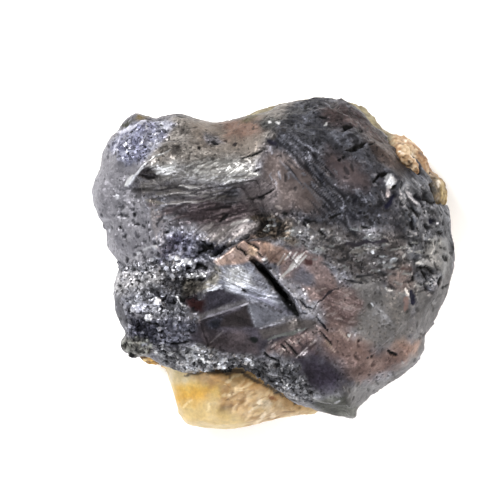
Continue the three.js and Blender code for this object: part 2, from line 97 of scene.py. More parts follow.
@dataclass(frozen=True)
class Noise:
    """Repeatable noise over points in millimetres, by mixing whole numbers with large primes."""

    seed: int
    primes: ClassVar[tuple[int, ...]] = (374761393, 668265263, 2246822519, 3266489917)

    def chance(self, cell: Array, salt: int) -> Array:
        """One number from 0 to 1 for each cell of space.

        Args:
            cell: whole-numbered cell places, one row each.
            salt: picks one of many independent sets of numbers.

        Returns:
            One value for each row.
        """
        i, j, k = (cell[:, n].astype(np.int64).astype(np.uint32) for n in range(3))
        a, b, c, d = (np.uint32(prime) for prime in self.primes)
        mixed = i * a + j * b + k * c + np.uint32((self.seed * 7919 + salt * 104729) % 2**32)
        mixed = (mixed ^ (mixed >> np.uint32(15))) * c
        mixed = (mixed ^ (mixed >> np.uint32(13))) * d
        return (mixed ^ (mixed >> np.uint32(16))) / 2.0**32

    def smooth(self, points: Array, size: float | tuple[float, float, float], salt: int = 0) -> Array:
        """Smooth noise from -1 to 1.

        Args:
            points: places in millimetres.
            size: width of its lumps, the same all ways or one for each axis.
            salt: picks one of many independent patterns.

        Returns:
            One value for each point.
        """
        place = points / np.asarray(size, dtype=float)
        base = np.floor(place)
        part = place - base
        weight = part**3 * (part * (part * 6 - 15) + 10)
        total = np.zeros(len(points))
        for corner in product((0, 1), repeat=3):
            share = np.prod(np.where(corner, weight, 1 - weight), axis=1)
            total += share * self.chance(base + corner, salt)
        return 2 * total - 1

    def rough(self, points: Array, size: float, salt: int = 0, layers: int = 3) -> Array:
        """Smooth noise with finer layers on it, each half as wide, from about -1 to 1."""
        total = sum(self.smooth(points, size / 2**n, salt + 31 * n) / 1.8**n for n in range(layers))
        return total / 1.6

    def facets(self, points: Array, pitch: float, salt: int = 0) -> tuple[Array, Array, Array]:
        """Flat tilted faces, one in each cell of a random mosaic.

        Args:
            points: places in millimetres.
            pitch: width of the cells.
            salt: picks one of many independent mosaics.

        Returns:
            How far each point's face lifts it in millimetres, for a slope of about 1, a number from 0 to 1
            that its whole cell shares, and its distance from the cell's edge as a share of the pitch.
        """
        place = points / pitch
        base = np.floor(place)
        nearest, second = np.full((2, len(points)), np.inf)
        home, out = np.zeros((2, *place.shape))
        for shift in product((-1, 0, 1), repeat=3):
            cell = base + shift
            away = place - cell - np.column_stack([self.chance(cell, salt + n) for n in (1, 2, 3)])
            span = (away**2).sum(axis=1)
            closer = span < nearest
            second = np.where(closer, nearest, np.minimum(second, span))
            nearest = np.where(closer, span, nearest)
            home = np.where(closer[:, None], cell, home)
            out = np.where(closer[:, None], away, out)
        tilt = np.column_stack([self.chance(home, salt + n) for n in (4, 5, 6)]) * 2 - 1
        lift = (out * tilt).sum(axis=1) * pitch
        return lift, self.chance(home, salt + 7), np.sqrt(second) - np.sqrt(nearest)


NOISE = Noise(seed=17)


def shade(tones: str, value: Array) -> Array:
    """Mixes the colours of a stretch of stone.

    Args:
        tones: its dark, middle and light colour as three sRGB hex codes.
        value: numbers from 0, dark, to 1, light.

    Returns:
        The linear colour for each number.
    """
    stops = np.array([linear(code) for code in tones.split()])
    return np.column_stack([np.interp(value, (0, 0.5, 1), stops[:, n]) for n in range(3)])


# ---- How the stone is broken ----


class Run(Enum):
    """Directions in which cleavage comes out on the broken face, in degrees from +X."""

    EAST = 8.0
    RISE = 38.0
    DIP = -23.0
    FALL = -47.0


@dataclass(frozen=True)
class Fabric:
    """How a stretch of stone is broken.

    Attributes:
        pitch: width of its grains, chips or fibres in millimetres.
        run: direction of its lines.
        fibre: how strongly fine lines show in it, from 0 to 1.
        grit: how strongly fine grains show in it, from 0 to 1.
        melt: how far the steps of the solid turn into slopes in it, from 0 to 1.
    """

    pitch: float = 1.5
    run: Run = Run.EAST
    fibre: ClassVar[float] = 0.0
    grit: ClassVar[float] = 0.5
    melt: ClassVar[float] = 0.5

    def at(self, points: Array) -> tuple[Array, Array]:
        """How the stone is broken at some places; every fabric has its own way.

        Args:
            points: the places in millimetres.

        Returns:
            The relief, from about -1 to 1, and the tone, from 0 dark to 1 light.
        """
        raise NotImplementedError


@dataclass(frozen=True)
class Silk(Fabric):
    """Silky parallel fibres, in sheaves that wander a little."""

    fibre: ClassVar[float] = 1.0
    grit: ClassVar[float] = 0.45
    melt: ClassVar[float] = 1.0

    def at(self, points: Array) -> tuple[Array, Array]:
        """The relief and the tone, as in Fabric."""
        bent = points + 0.9 * NOISE.smooth(points, 7, 10)[:, None]
        line = turned(bent, self.run.value)
        sheaf = NOISE.smooth(line, (self.pitch * 8, self.pitch * 1.6, self.pitch * 4), 11)
        silk = NOISE.smooth(line, (self.pitch * 9, self.pitch * 0.7, self.pitch * 3), 12)
        tone = 0.5 + 0.3 * sheaf + 0.3 * silk + 0.3 * NOISE.rough(points, 3.5, 13, 2)
        return 0.6 * sheaf + 0.4 * silk, tone


@dataclass(frozen=True)
class Chips(Fabric):
    """Small flat faces at all angles, drawn out along one direction."""

    fibre: ClassVar[float] = 0.4
    grit: ClassVar[float] = 0.8

    def at(self, points: Array) -> tuple[Array, Array]:
        """The relief and the tone, as in Fabric."""
        line = turned(points, self.run.value) / np.array((1.9, 1, 1))
        lift, luck, _ = NOISE.facets(line, self.pitch, 21)
        small, spark, _ = NOISE.facets(line, self.pitch * 0.42, 31)
        tone = 0.5 + 0.34 * (luck - 0.5) + 0.34 * (spark - 0.5) + 0.42 * NOISE.rough(points, 3.2, 22, 3)
        return (lift + 0.7 * small) / self.pitch, tone


@dataclass(frozen=True)
class Grains(Fabric):
    """A mosaic of cleavage grains, in clusters of bright and of dark ones."""

    grit: ClassVar[float] = 1.0

    def at(self, points: Array) -> tuple[Array, Array]:
        """The relief and the tone, as in Fabric."""
        lift, luck, edge = NOISE.facets(points, self.pitch, 41)
        small, spark, _ = NOISE.facets(points, self.pitch * 0.5, 51)
        tone = 0.5 + 0.3 * (luck - 0.5) + 0.3 * (spark - 0.5) + 0.8 * NOISE.rough(points, 5.5, 61, 4)
        relief = (lift * 1.1 + small * 0.7) / self.pitch + 0.6 * (luck - 0.5)
        return relief, tone - 0.25 * ease(0.12, 0.0, edge)


@dataclass(frozen=True)
class Plane(Fabric):
    """A flat cleavage face with faint parallel lines."""

    fibre: ClassVar[float] = 0.5
    grit: ClassVar[float] = 0.35
    melt: ClassVar[float] = 0.8

    def at(self, points: Array) -> tuple[Array, Array]:
        """The relief and the tone, as in Fabric."""
        line = turned(points, self.run.value)
        sheet = NOISE.smooth(line, (self.pitch * 6, self.pitch * 0.8, self.pitch), 71)
        cloud = NOISE.rough(points, 4, 73, 3)
        return 0.5 * sheet + 0.2 * cloud, 0.5 + 0.2 * sheet + 0.36 * cloud


@dataclass(frozen=True)
class Worn(Fabric):
    """A smooth, worn face with soft clouds and a few small pits."""

    fibre: ClassVar[float] = 0.15
    grit: ClassVar[float] = 0.42
    melt: ClassVar[float] = 1.0

    def at(self, points: Array) -> tuple[Array, Array]:
        """The relief and the tone, as in Fabric."""
        lift, luck, edge = NOISE.facets(points, self.pitch, 81)
        pit = ease(0.3, 0.6, edge) * (luck > 0.86)
        tone = 0.52 + 0.36 * NOISE.rough(points, 3.4, 82, 3) + 0.12 * (luck - 0.5) - 0.5 * pit
        return 0.4 * NOISE.smooth(points, self.pitch * 1.8, 83) + 0.45 * lift / self.pitch - 0.8 * pit, tone


@dataclass(frozen=True)
class Matt(Worn):
    """A worn face without sparkling grains."""

    grit: ClassVar[float] = 0.16


Outline = tuple[tuple[float, float], ...]


def depth_in(outline: Outline, points: Array) -> Array:
    """Measures how far inside an outline points are, seen from above.

    Args:
        outline: its corners in millimetres.
        points: places in millimetres.

    Returns:
        The distance from the outline for each point, negative outside it.
    """
    x, y = points[:, 0], points[:, 1]
    nearest = np.full(len(points), np.inf)
    inside = np.zeros(len(points), dtype=bool)
    for (x0, y0), (x1, y1) in zip(outline, outline[1:] + outline[:1]):
        along, up = x1 - x0, y1 - y0
        share = np.clip(((x - x0) * along + (y - y0) * up) / (along**2 + up**2), 0, 1)
        nearest = np.minimum(nearest, np.hypot(x - x0 - share * along, y - y0 - share * up))
        inside ^= ((y0 > y) != (y1 > y)) & (x < along * (y - y0) / (up or 1) + x0)
    return np.where(inside, nearest, -nearest)


@dataclass(frozen=True)
class Domain:
    """A stretch of the surface that is broken and coloured in one way.

    Attributes:
        name: what it is.
        outline: its corners seen from above, in millimetres from the middle of the specimen.
        fabric: how it is broken.
        rise: height of its relief in millimetres.
        tones: its dark, middle and light colour, as sRGB hex codes.
        gloss: how bright its faces shine, from 0 to 1.
        blend: width in millimetres over which it fades into its neighbours.
        crisp: whether the edges of the solid stay sharp in it.
    """

    name: str
    outline: Outline
    fabric: Fabric
    rise: float
    tones: str
    gloss: float = 0.5
    blend: float = 1.2
    crisp: bool = False

    def mask(self, points: Array) -> Array:
        """How much of each point in millimetres belongs to the stretch, from 0 to 1, with a ragged edge."""
        ragged = NOISE.smooth(points, 4.5, 101) + 0.7 * NOISE.smooth(points, 1.3, 102)
        depth = depth_in(self.outline, points) + min(0.9, 0.9 * self.blend**1.5) * ragged
        return ease(-self.blend, self.blend, depth)


# Near-black: the painted shade inside cracks, holes, pits and the seam.
BLACK = "060608"


@dataclass(frozen=True)
class Stroke:
    """A crack, slit, fleck or bright edge that runs from one place to another.

    Attributes:
        start: one end, seen from above, in millimetres.
        end: the other end.
        width: its width at its middle in millimetres.
        depth: how deep it is in millimetres; it stands proud where that is negative.
        tone: its colour as sRGB hex.
        ragged: how far it wanders off its line in millimetres.
        fray: share by which its width varies.
    """

    start: tuple[float, float]
    end: tuple[float, float]
    width: float
    depth: float
    tone: str = BLACK
    ragged: float = 0.2
    fray: float = 0.5

    def near(self, points: Array) -> Array:
        """The numbers of the points that the stroke can reach: those in the box round it."""
        room = self.width + self.ragged
        low = np.minimum(self.start, self.end) - room
        high = np.maximum(self.start, self.end) + room
        return np.flatnonzero(((points[:, :2] > low) & (points[:, :2] < high)).all(axis=1))

    def mask(self, points: Array) -> Array:
        """Measures how deep in the stroke points are; it wanders off its line and thins to its ends.

        Args:
            points: places in millimetres.

        Returns:
            From 0 outside to 1 in its middle, for each point.
        """
        start = np.array(self.start)
        line = np.array(self.end) - start
        length = np.hypot(*line)
        across = np.array((-line[1], line[0]))
        wander = self.ragged * NOISE.smooth(points, 1.3, 111)[:, None] * across / length
        offset = points[:, :2] + wander - start
        share = np.clip(offset @ line / length**2, 0, 1)
        away = np.hypot(*(offset - share[:, None] * line).T)
        half = 0.5 * self.width * (0.25 + 0.75 * np.sqrt(np.clip(4 * share * (1 - share), 0, 1)))
        half *= 1 + self.fray * NOISE.smooth(points, 0.9, 112)
        return ease(1.3, 0.6, away / half)


def strokes(*rows: tuple[float | str, ...]) -> tuple[Stroke, ...]:
    """Strokes from rows of their ends' x, y, x and y, and then the rest of their fields."""
    return tuple(Stroke(row[:2], row[2:4], *row[4:]) for row in rows)


def depth_of(several: Iterable[Stroke], points: Array) -> Array:
    """How deep in the nearest of several strokes each point is, from 0 outside to 1 in its middle."""
    return np.max([stroke.mask(points) for stroke in several], axis=0)


def widened(several: Iterable[Stroke], more: float) -> list[Stroke]:
    """The same strokes, wider by some millimetres."""
    return [replace(stroke, width=stroke.width + more) for stroke in several]


def each(kind: type, *rows: tuple[object, ...]) -> tuple:
    """One thing of a kind for each row of its fields."""
    return tuple(kind(*row) for row in rows)


@dataclass(frozen=True)
class Nudge:
    """A small bump or dent of the outline: where it is, how far it goes and its reach, in millimetres."""

    at: tuple[float, float]
    by: tuple[float, float]
    reach: float

    def shift(self, points: Array) -> Array:
        """How far each point moves in millimetres."""
        away = np.hypot(*(points[:, :2] - self.at).T)
        return ease(self.reach, 0, away)[:, None] * np.array((*self.by, 0))


def nudges(*rows: tuple[float, ...]) -> tuple[Nudge, ...]:
    """Nudges from rows of their x, y, way in x, way in y and reach."""
    return tuple(Nudge(row[:2], row[2:4], row[4]) for row in rows)


@dataclass(frozen=True)
class Marks:
    """Many small streaks or flecks strewn over a stretch, all much alike.

    Attributes:
        outline: the stretch, seen from above, in millimetres.
        count: how many there are.
        heading: their direction in degrees from +X, and how far it may differ.
        length: least and greatest length in millimetres.
        width: least and greatest width in millimetres.
        depth: how deep they are in millimetres; they stand proud where that is negative.
        tone: their colour as sRGB hex.
        ragged: how far they wander off their line in millimetres.
    """

    outline: Outline
    count: int
    heading: tuple[float, float]
    length: tuple[float, float]
    width: tuple[float, float]
    depth: float
    tone: str
    ragged: float = 0.2

    def strokes(self, seed: int) -> list[Stroke]:
        """Strews the marks.

        Args:
            seed: picks one of many ways to strew them.

        Returns:
            One stroke for each mark.
        """
        chance = np.random.default_rng(seed)
        corners = np.array(self.outline)
        made: list[Stroke] = []
        while len(made) < self.count:
            place = chance.uniform(corners.min(axis=0), corners.max(axis=0))
            if depth_in(self.outline, np.array([(*place, 0)]))[0] < 0:
                continue
            turn = math.radians(self.heading[0] + self.heading[1] * chance.uniform(-1, 1))
            half = 0.5 * chance.uniform(*self.length) * np.array((math.cos(turn), math.sin(turn)))
            width = chance.uniform(*self.width)
            made.append(Stroke(tuple(place - half), tuple(place + half), width, self.depth, self.tone,
                               self.ragged, 2.5 * self.ragged))
        return made


# ---- The map of the broken face ----

# Fresh cleavage is silvery and tarnish lead-grey to brown or violet; hollows are painted black as shade.
LEAD = "3c3a3f 77757b b0afb5"

LOBE = ((-37, 27), (-21, 28.5), (-25, 19.5), (-30, 15.5), (-22, 9.5), (-18, 3.5), (-20, 0), (-31, -2.5),
    (-38, 0))
SADDLE = ((-20, 30), (5, 34), (5, 25.5), (-1.4, 23), (-4, 19.5), (-15, 19.5), (-22, 18.5), (-25, 20.5))
SHOULDER = ((-1.4, 24.5), (5, 34), (14, 34.5), (25, 27.5), (35, 17), (33, 4.5), (15, 7.5), (5, 4.5),
    (-3.4, 4.5), (-7, 9.5), (-3.4, 14.5), (-2.6, 20.5))
MIDDLE = ((-3.4, 10), (5, 8), (15, 7.5), (34, 4.5), (29, -7.5), (24, -5.5), (15, -2.5), (9, 0), (5, 3.5),
    (-2, 6), (-5, 4.5))
ROUGH_EDGE = ((25, 16.5), (35, 17), (37, 6.5), (36, -1.5), (31, -5.5), (27.4, -3.5), (26, 4.5), (25, 10.5))
BAND = ((-24.2, 18.9), (-14, 20.9), (-5, 20.5), (-2.6, 16.9), (-6, 15.3), (-15, 16.5), (-23.4, 16.5))
DARK_BAND = ((-27, 16.1), (-13.8, 15.7), (-5, 13.5), (-2.6, 12.5), (-9, 11.3), (-21, 12.5), (-27.4, 13.3))
WEDGE = ((-25, 11.9), (-15, 11.9), (-4, 12.5), (-3.4, 10.9), (-7, 8.1), (-12, 7.3), (-19, 8.1))
SILVER_BLOCK = ((-15.4, 7.3), (-10, 8.1), (-5, 8.9), (-2.6, 8.1), (-4.6, 6.1), (-10, 3.9), (-12.6, 4.5))
GRAINY = ((-33, 0), (-21, 1.5), (-15, 0), (-13.4, -5.5), (-15, -11), (-25, -10.5), (-32, -7.5))
WHITE_GRAINS = ((-29, -3), (-24, -0.6), (-16.5, -0.6), (-17.4, -5), (-21, -9.6), (-28, -9.4))
BLUE_GRAINS = ((-32, -7.5), (-25, -10.5), (-15, -11), (-17, -16.5), (-25, -16.5), (-31, -14.5))
LIP = ((-25, -16.5), (-16, -16.5), (-8, -17.9), (3, -19.9), (9, -26.5), (5, -28.5), (-1.4, -24.9),
    (-7.4, -22), (-15, -24), (-22, -22))
LAVENDER = ((-31, 26.5), (-32.3, 23), (-29.3, 19.6), (-25, 21.1), (-19.6, 27.9), (-23.5, 29))
PINK_LOW = ((8.6, -12.5), (14, -12.8), (18, -15.6), (20, -18.2), (25, -17), (26.4, -19.4), (22, -22),
    (17, -23), (13.4, -20.8), (9.6, -17.6))
LOW_MIDDLE = ((-1.4, -14.5), (4, -12.5), (8.6, -13.5), (8.6, -18), (3, -18), (-1.4, -18))
BEVEL = ((27.4, -3.5), (31, -5.5), (37, 0), (37, -5.5), (32, -19), (23, -27), (16, -32), (10, -27.5),
    (14, -24.5), (22, -22.5), (27, -17.5), (28, -11.5))
SWIRL = ((9, -4.5), (14, -3.5), (17.4, -7.5), (16, -12.5), (11, -12.5), (8.6, -8.5))
BLUE_SPECKS = ((-22, 7.5), (-15, 6.1), (-15, 0.1), (-20, 0.9), (-23, 4.5))
NODULE = ((-32.4, -14.5), (-25, -14.5), (-24, -17.9), (-27, -19.4), (-32.4, -18.6))
GLARES = (
    ((-23, 17.9), (-22.4, 19.6), (-19.8, 19.4), (-20, 18)),
    ((-15.8, 18.2), (-15.2, 20.2), (-12, 19.8), (-12.2, 18)),
    ((-10.6, 16.2), (-9.8, 18.8), (-5.2, 19.4), (-4.6, 17.4), (-7.6, 15.9)),
)
CLUSTERS = (
    ((-28.8, -6.2), (-25.2, -6.4), (-25, -9.6), (-28.2, -9.4)),
    ((-24.6, -5.6), (-21.4, -6.6), (-21, -9.8), (-24.2, -10)),
    ((-20.8, 1.8), (-15, 0.6), (-15, -0.8), (-19.6, 0.2)),
)
BANK = ((-12, 0.1), (-7, 1.5), (-2.6, -1.9), (2, -7.5), (4.6, -10.3), (-5, -6.9), (-10.6, -4.3), (-14, -4.7))

# Where the outline bulges or dents more than the solid.
GALENA_NUDGES = nudges(
    (-31.6, -0.4, 0.5, 0, 2.2), (-33, 3, -0.5, 0, 2.6), (-31.6, -9.6, -0.6, 0, 3),
    (-30.8, -13.8, 1.2, 0, 2.3), (-30.4, -18, 1.2, 0.1, 2), (-28, -18.2, 0, -0.5, 1.8),
    (9.5, 32.5, 0, 0.2, 5), (34.4, 9.5, 0.5, 0, 4), (36.6, 0.6, -0.35, 0, 2.2), (23, -23.5, -0.3, 0.3, 7),
    (17.4, -28.8, -0.8, 0, 2.6), (14, -31.2, 0, 0.3, 2), (-35, 21, 0.4, 0, 4), (-31, 27, 0.3, -0.3, 2.6),
    (-27.4, 29.6, 0, 0.4, 1.6), (-23.4, 29.4, 0, -0.4, 1.6), (-19, 29.6, 0, 0.3, 3), (-1, 31.2, 0, -0.3, 3),
    (-5.4, 29.2, 0, 0.2, 2),
)
# How the lower left wall of the gash closes up.
GASH_NUDGES = nudges(
    (-5.4, 0.3, 0.3, 0.25, 1.2), (-4.4, -1.2, 0.55, 0.45, 2.2), (-2.9, -2.95, 0.8, 0.62, 2.3),
    (-1.4, -4.7, 0.85, 0.66, 2.3), (0.1, -6.5, 0.85, 0.66, 2.3), (1.55, -8.2, 0.8, 0.62, 2.3),
    (3, -9.95, 0.55, 0.45, 2.2),
)
CALCITE_NUDGES = nudges(
    (18.5, 30.5, -0.4, -0.4, 2.6), (29, 23, -0.3, -0.3, 2.6), (34.8, 14.4, -0.3, 0, 2),
    (-16.8, -31.8, -0.6, -0.5, 2.8), (-23, -20.6, 0, 0.3, 3),
)

# The rim inside which the face's steps are worn down to slopes.
FACE_RIM = ((-33.5, 23.5), (-27, 27.6), (-12, 25.6), (0, 29), (11, 31), (19, 25), (29, 17.5), (33.5, 4),
    (32, -7), (27.5, -18), (15.6, -28.6), (8, -27), (-3, -22.6), (-18, -20.6), (-28, -16.6), (-30, -9),
    (-30, -1), (-34, 12))

DOMAINS = each(
    Domain,
    ("left lobe", LOBE, Worn(1.5), 0.14, "64636a 918f95 b5b3b8", 0.5, 1.5),
    ("upper saddle", SADDLE, Chips(1.9), 0.22, "4e4a48 8a847f bcb6b0", 0.4),
    ("saddle stain", ((-17, 29.5), (-2, 30), (-2.6, 22.5), (-15, 22.5)), Worn(1.6), 0.16,
        "4a423d 83786f aaa097", 0.35, 2.4),
    ("saddle pit", ((-13.6, 25.6), (-11, 25.4), (-10.2, 24), (-12, 23.4), (-13.8, 24.2)), Grains(1), 0.15,
        "383639 646165 949198", 0.4, 0.8),
    ("upper pit", ((-19.4, 27.4), (-17, 26.8), (-16.8, 25.6), (-18.6, 25.8)), Grains(1), 0.1,
        "3a3634 5a5552 7c7672", 0.4, 0.8),
    ("saddle rust", ((-10.6, 28.6), (-2.8, 30), (-1.6, 27), (-4.4, 25), (-9.8, 25.4)), Worn(1.6), 0.14,
        "4c382e 846a5e a88e80", 0.35, 1.4),
    ("grey patch", ((-4.2, 28.6), (-1, 29.4), (2, 28.8), (1.6, 26.9), (-2.2, 26.5)), Grains(1), 0.12,
        "1a1a1a 383837 676765", 0.4, 0.7),
    ("yellow rim", ((-6.6, 28), (-5, 31), (-0.6, 32.6), (0, 30.8), (-3.4, 29)), Worn(1.1), 0.12,
        "34301c 575137 7f7960", 0.3, 0.8),
    ("upper right mass", SHOULDER, Chips(1.8, Run.FALL), 0.22, "1b1b22 414147 6c6e78", 0.5, 1.5),
    ("brown shoulder", ((-2.2, 21.6), (-0.6, 23.2), (4.6, 20.2), (7.4, 17.6), (9.4, 13.5), (8.6, 10.4),
        (2, 10.6), (-2.6, 12.5), (-3.4, 15)), Matt(2.2, Run.FALL), 0.12, "362e2d 5a504e 7c716f", 0.35, 1.8),
    ("brown top", ((9.4, 31), (15, 32), (19.4, 28), (24, 24.5), (23, 20.5), (17, 26.5), (11, 27.5)),
        Chips(1.5), 0.2, "2a2324 4c4040 746463", 0.35, 1.8),
    ("crust stain", ((19, 26.4), (23.4, 24), (26, 20.4), (24.6, 17.6), (21.6, 20.2), (18.6, 23.4)),
        Chips(1.5, Run.FALL), 0.16, "2a2322 4a403d 6c605b", 0.35, 1.8),
    ("brown vein", ((11, 22.5), (17, 19.5), (18, 15.5), (14, 14.5), (10, 18.5)), Matt(1.5, Run.FALL), 0.14,
        "322a2e 5a4f50 7a7176", 0.4, 2),
    ("right middle", MIDDLE, Chips(1.6), 0.26, "2e2c2d 5e5a5b 8c8a8b", 0.45),
    ("speckled knot", ((-5, 11), (3, 8), (4, 4.5), (-3, 4.5), (-6, 7)), Grains(1.1), 0.34,
        "120f0e 52483f aa9c8e", 0.4, 1),
    ("rough edge", ROUGH_EDGE, Chips(2.3, Run.FALL), 0.4, "202125 5e5f64 989aa0", 0.5),
    ("silver slope", ((28.4, 0), (29.8, 2.4), (31, 5.2), (34.2, 5), (35.4, 2), (35, -2.6), (31.8, -0.8)),
        Worn(1.5), 0.12, "5a5a5a 868686 b0b0b0", 0.5, 0.7),
    ("right bevel", BEVEL, Worn(1.5), 0.2, "484646 747272 a09e9e", 0.45, 1),
    ("grey slope", ((15.4, -3.5), (27, -4.5), (28, -11.5), (26, -16), (18, -16.5), (14, -11.5)), Worn(1.8,
        Run.DIP), 0.14, "4e4c4a 7b7877 a4a19f", 0.45, 1.8),
    ("pinkish slope", ((22.4, -1), (26.8, -0.2), (27.2, -4.6), (24.4, -5.8), (22, -4)), Worn(1.6), 0.12,
        "5a4e4c 7e7270 9a8e89", 0.35, 1.4),
    ("pink right of the gash", ((1.4, 2.5), (6, 3), (10, 1), (12.6, -3.5), (12, -6.5), (7.4, -7.5),
        (5, -4.5), (1.6, -2)), Worn(1.4, Run.RISE), 0.12, "4e4044 82716f b09b96", 0.5, 0.8),
    ("violet plane", ((2.6, -3), (5.4, -0.8), (8, -1.8), (7.6, -4.2), (5, -5)), Plane(1.3, Run.DIP), 0.08,
        "4a4850 716e76 96939a", 0.6, 0.8),
    ("brown swirl", SWIRL, Silk(1, Run.DIP), 0.2, "3c3130 6c5a58 9c8a86", 0.5),
    ("pink low right", PINK_LOW, Worn(1.7, Run.FALL), 0.14, "453430 86706a bca49a", 0.4, 1.8),
    ("rust patch", ((24.8, -15.6), (28.8, -15.6), (28.2, -17.8), (25.4, -18)), Worn(1.4), 0.14,
        "80625a a88c7e c8ac9e", 0.35, 1.4),
    ("pink low middle", LOW_MIDDLE, Chips(1.4, Run.FALL), 0.22, "4e4242 826f6c b8a8a2", 0.5),
    # Violet tarnish in a hollow, darkened further with painted shade.
    ("violet hollow", ((2.4, -18.4), (8.6, -16.2), (14, -20.4), (14.6, -23.6), (10, -26.2), (5, -26),
        (2, -22.5)), Worn(2), 0.1, "151019 272129 3c3542", 0.5, 2.6),
    ("bottom tip", ((5, -27.1), (10, -26.5), (15, -27.1), (18, -28.5), (16, -32.5), (11, -31)), Worn(1.4),
        0.2, "1a1a18 50504a 8c8c84", 0.4, 1),
    ("dark basin", ((-15, -10.9), (-10, -8.7), (-5.2, -7.5), (-3.6, -12.1), (3, -11.9), (5, -13.5),
        (-1.4, -16.5), (-2.6, -17.9), (-9, -19.9), (-16, -17.5), (-17.4, -13.5)), Plane(1.6, Run.DIP), 0.12,
        "211e22 413c43 676069", 0.55, 0.5),
    ("brown floor", ((-12, -13), (-6, -12.8), (-3, -15), (-3, -18), (-9, -19), (-13.6, -16.6)), Worn(1.6,
        Run.DIP), 0.12, "221d1f 3e3638 5c5153", 0.4, 1.4),
    ("dark corner", ((-13.8, -12), (-12.4, -10.9), (-10.4, -11), (-10.4, -12.8), (-12.6, -12.8)),
        Chips(1.2), 0.12, "10121a 23242d 40424c", 0.4, 0.7),
    ("brown facet", ((-5.1, -8.2), (-3.9, -12.6), (-10.6, -12.4), (-9.8, -10.3)), Plane(1.6, Run.DIP), 0.05,
        "1c1819 2c2627 3e3737", 0.15, 0.5),
    ("brown band", ((-3.2, -13), (4.4, -10.6), (8, -11.2), (8, -12.6), (3, -13.8), (-2.2, -15)), Plane(1.2),
        0.08, "403a3a 585250 726b68", 0.4, 0.6),
    ("grey facet", ((-5, -7.7), (3.8, -10), (-2.6, -12.7), (-3.8, -12.5)), Plane(1.4, Run.DIP), 0.04,
        "545459 6c6c73 88888f", 0.35, 0.5),
    ("left basin", ((-13.6, -5.1), (-10.2, -4.1), (-5.2, -7.1), (-15, -10.9), (-15.8, -8.5)), Silk(0.9,
        Run.RISE), 0.1, "26222c 39363e 54505a", 0.4, 0.5),
    ("pale ledge", ((-15.4, -11.4), (-15, -9.9), (-5.8, -6.9), (-5, -7.6)), Worn(1.3), 0.06,
        "484547 605d5f 7c787a", 0.5, 0.4),
    ("bright bank", BANK, Silk(1, Run.DIP), 0.14, "62626c 777881 93949c", 0.55, 0.6),
    ("bank glare", ((-9, -1.6), (-6.6, -1.5), (-4.2, -2.6), (-3.6, -4.6), (-6, -4.9), (-8.6, -3.8)),
        Silk(0.9, Run.DIP), 0.1, "a2a2a6 c9c9cb f2f2f2", 0.95, 1.3),
    ("granular corner", GRAINY, Grains(1.3), 0.5, "34343a 7a7a80 c4c4cc", 0.7),
    ("blue grains", BLUE_GRAINS, Grains(1.2), 0.46, "12121c 3c3c47 767681", 0.55),
    ("pale rim", ((-33, -1), (-27.4, -1.2), (-22, -1.8), (-20.6, -4.4), (-24.6, -5.4), (-33, -6.4)),
        Grains(1.2, Run.DIP), 0.3, "6c6b6c a2a0a2 d4d2d4", 0.5, 1.2),
    ("left flank", ((-33.4, -6), (-29.6, -6.6), (-28.4, -11), (-29, -13.8), (-33.4, -14)), Worn(1.6), 0.16,
        "3e3d44 5c5b60 747379", 0.4, 1),
    ("nodule", NODULE, Grains(1.3), 0.4, "252421 5e5c57 a3a19b", 0.5, 0.8),
    ("lip", LIP, Grains(1.1), 0.42, "2c2c2e 737275 bcbcbe", 0.6),
    ("ochre fleck", ((-27.8, 28.8), (-27.2, 31), (-24.8, 31), (-24.6, 29.2), (-26, 28.6)), Worn(1.2), 0.2,
        "382d15 63532b 8d7d5a", 0.3, 0.5),
    ("lavender corner", LAVENDER, Grains(1.3), 0.18, "84859a b8b9c7 dfe0ea", 0.65, 0.8),
    ("silky band", BAND, Silk(1.1), 0.2, "524f4e 7c7977 b8b6b4", 0.8, 1.4),
    ("band glare", ((-13.4, 16.8), (-15.6, 18.4), (-15.2, 20), (-9, 20.2), (-4.6, 19.8), (-3.8, 17.8),
        (-6, 15.9)), Silk(0.9, Run.RISE), 0.16, "7a7876 a09e9c dad8d6", 0.9, 1.3),
    ("band spark", ((-23.4, 17.8), (-22.8, 19.2), (-20.2, 19.1), (-20.4, 18)), Silk(0.9), 0.12,
        "7e7c7b a5a3a2 cecccb", 0.9, 0.7),
    # The hollow under the crest, darkened with painted shade.
    ("crest hollow", ((-26.8, 18.5), (-24.6, 19.1), (-22.8, 17.5), (-24, 16.5), (-26.8, 17.1)), Chips(1.2),
        0.2, "0e0c0e 262224 4a4548", 0.3, 0.6),
    # A steep face below the silky band, darkened with painted shade; its streaks are its own.
    ("dark streaks", DARK_BAND, Silk(1), 0.24, "2c2a2b 524e4f 7e7a77", 0.6),
    ("brown wedge", WEDGE, Silk(1), 0.26, "292225 493f42 706568", 0.6, 1),
    ("streaked slope", ((-7.6, 15.8), (-3.4, 17.4), (-0.6, 17), (0.4, 13), (-1.6, 10.8), (-4.2, 10.4),
        (-5, 12.6)), Silk(1, Run.RISE), 0.12, "443f41 706869 958c8c", 0.5, 1.1),
    ("silver block", SILVER_BLOCK, Plane(1.2, Run.RISE), 0.12, "645e5f 817b7b a29a9a", 0.5, 0.8),
    ("pink blocks", ((-11.8, 0.5), (-9.5, 2.1), (-7.6, 3.7), (-5.5, 5.5), (-4.2, 5.7), (-2.8, 4.6),
        (-1.6, 2.4), (-2.4, 0.5), (-4.4, 1), (-6, 0.3), (-8, -0.1), (-11, -0.1)), Plane(1.3, Run.FALL),
        0.05, "80675e af978c d2beb4", 0.5, 0.35, True),
    ("pink bridge", ((-2.6, 4.6), (1.8, 3.5), (3, 2.2), (1.8, 0.2), (-0.8, 0.4), (-2, 2)), Plane(1.2,
        Run.FALL), 0.06, "6a554f 9c8478 c0aaa0", 0.4, 0.5),
    ("tan facet", ((-5, 4.1), (-3.4, 2.9), (-3.2, 1.9), (-4.4, 1.5), (-5.2, 2.3)), Plane(1, Run.FALL), 0.03,
        "aa927d caae97 e5ccb7", 0.5, 0.25, True),
    # A flat facet whose near-white tones are a painted highlight.
    ("bright facet", ((22, 18), (23.2, 17.7), (24.1, 16.3), (23.5, 15), (22.3, 14.9), (21.8, 16.3)),
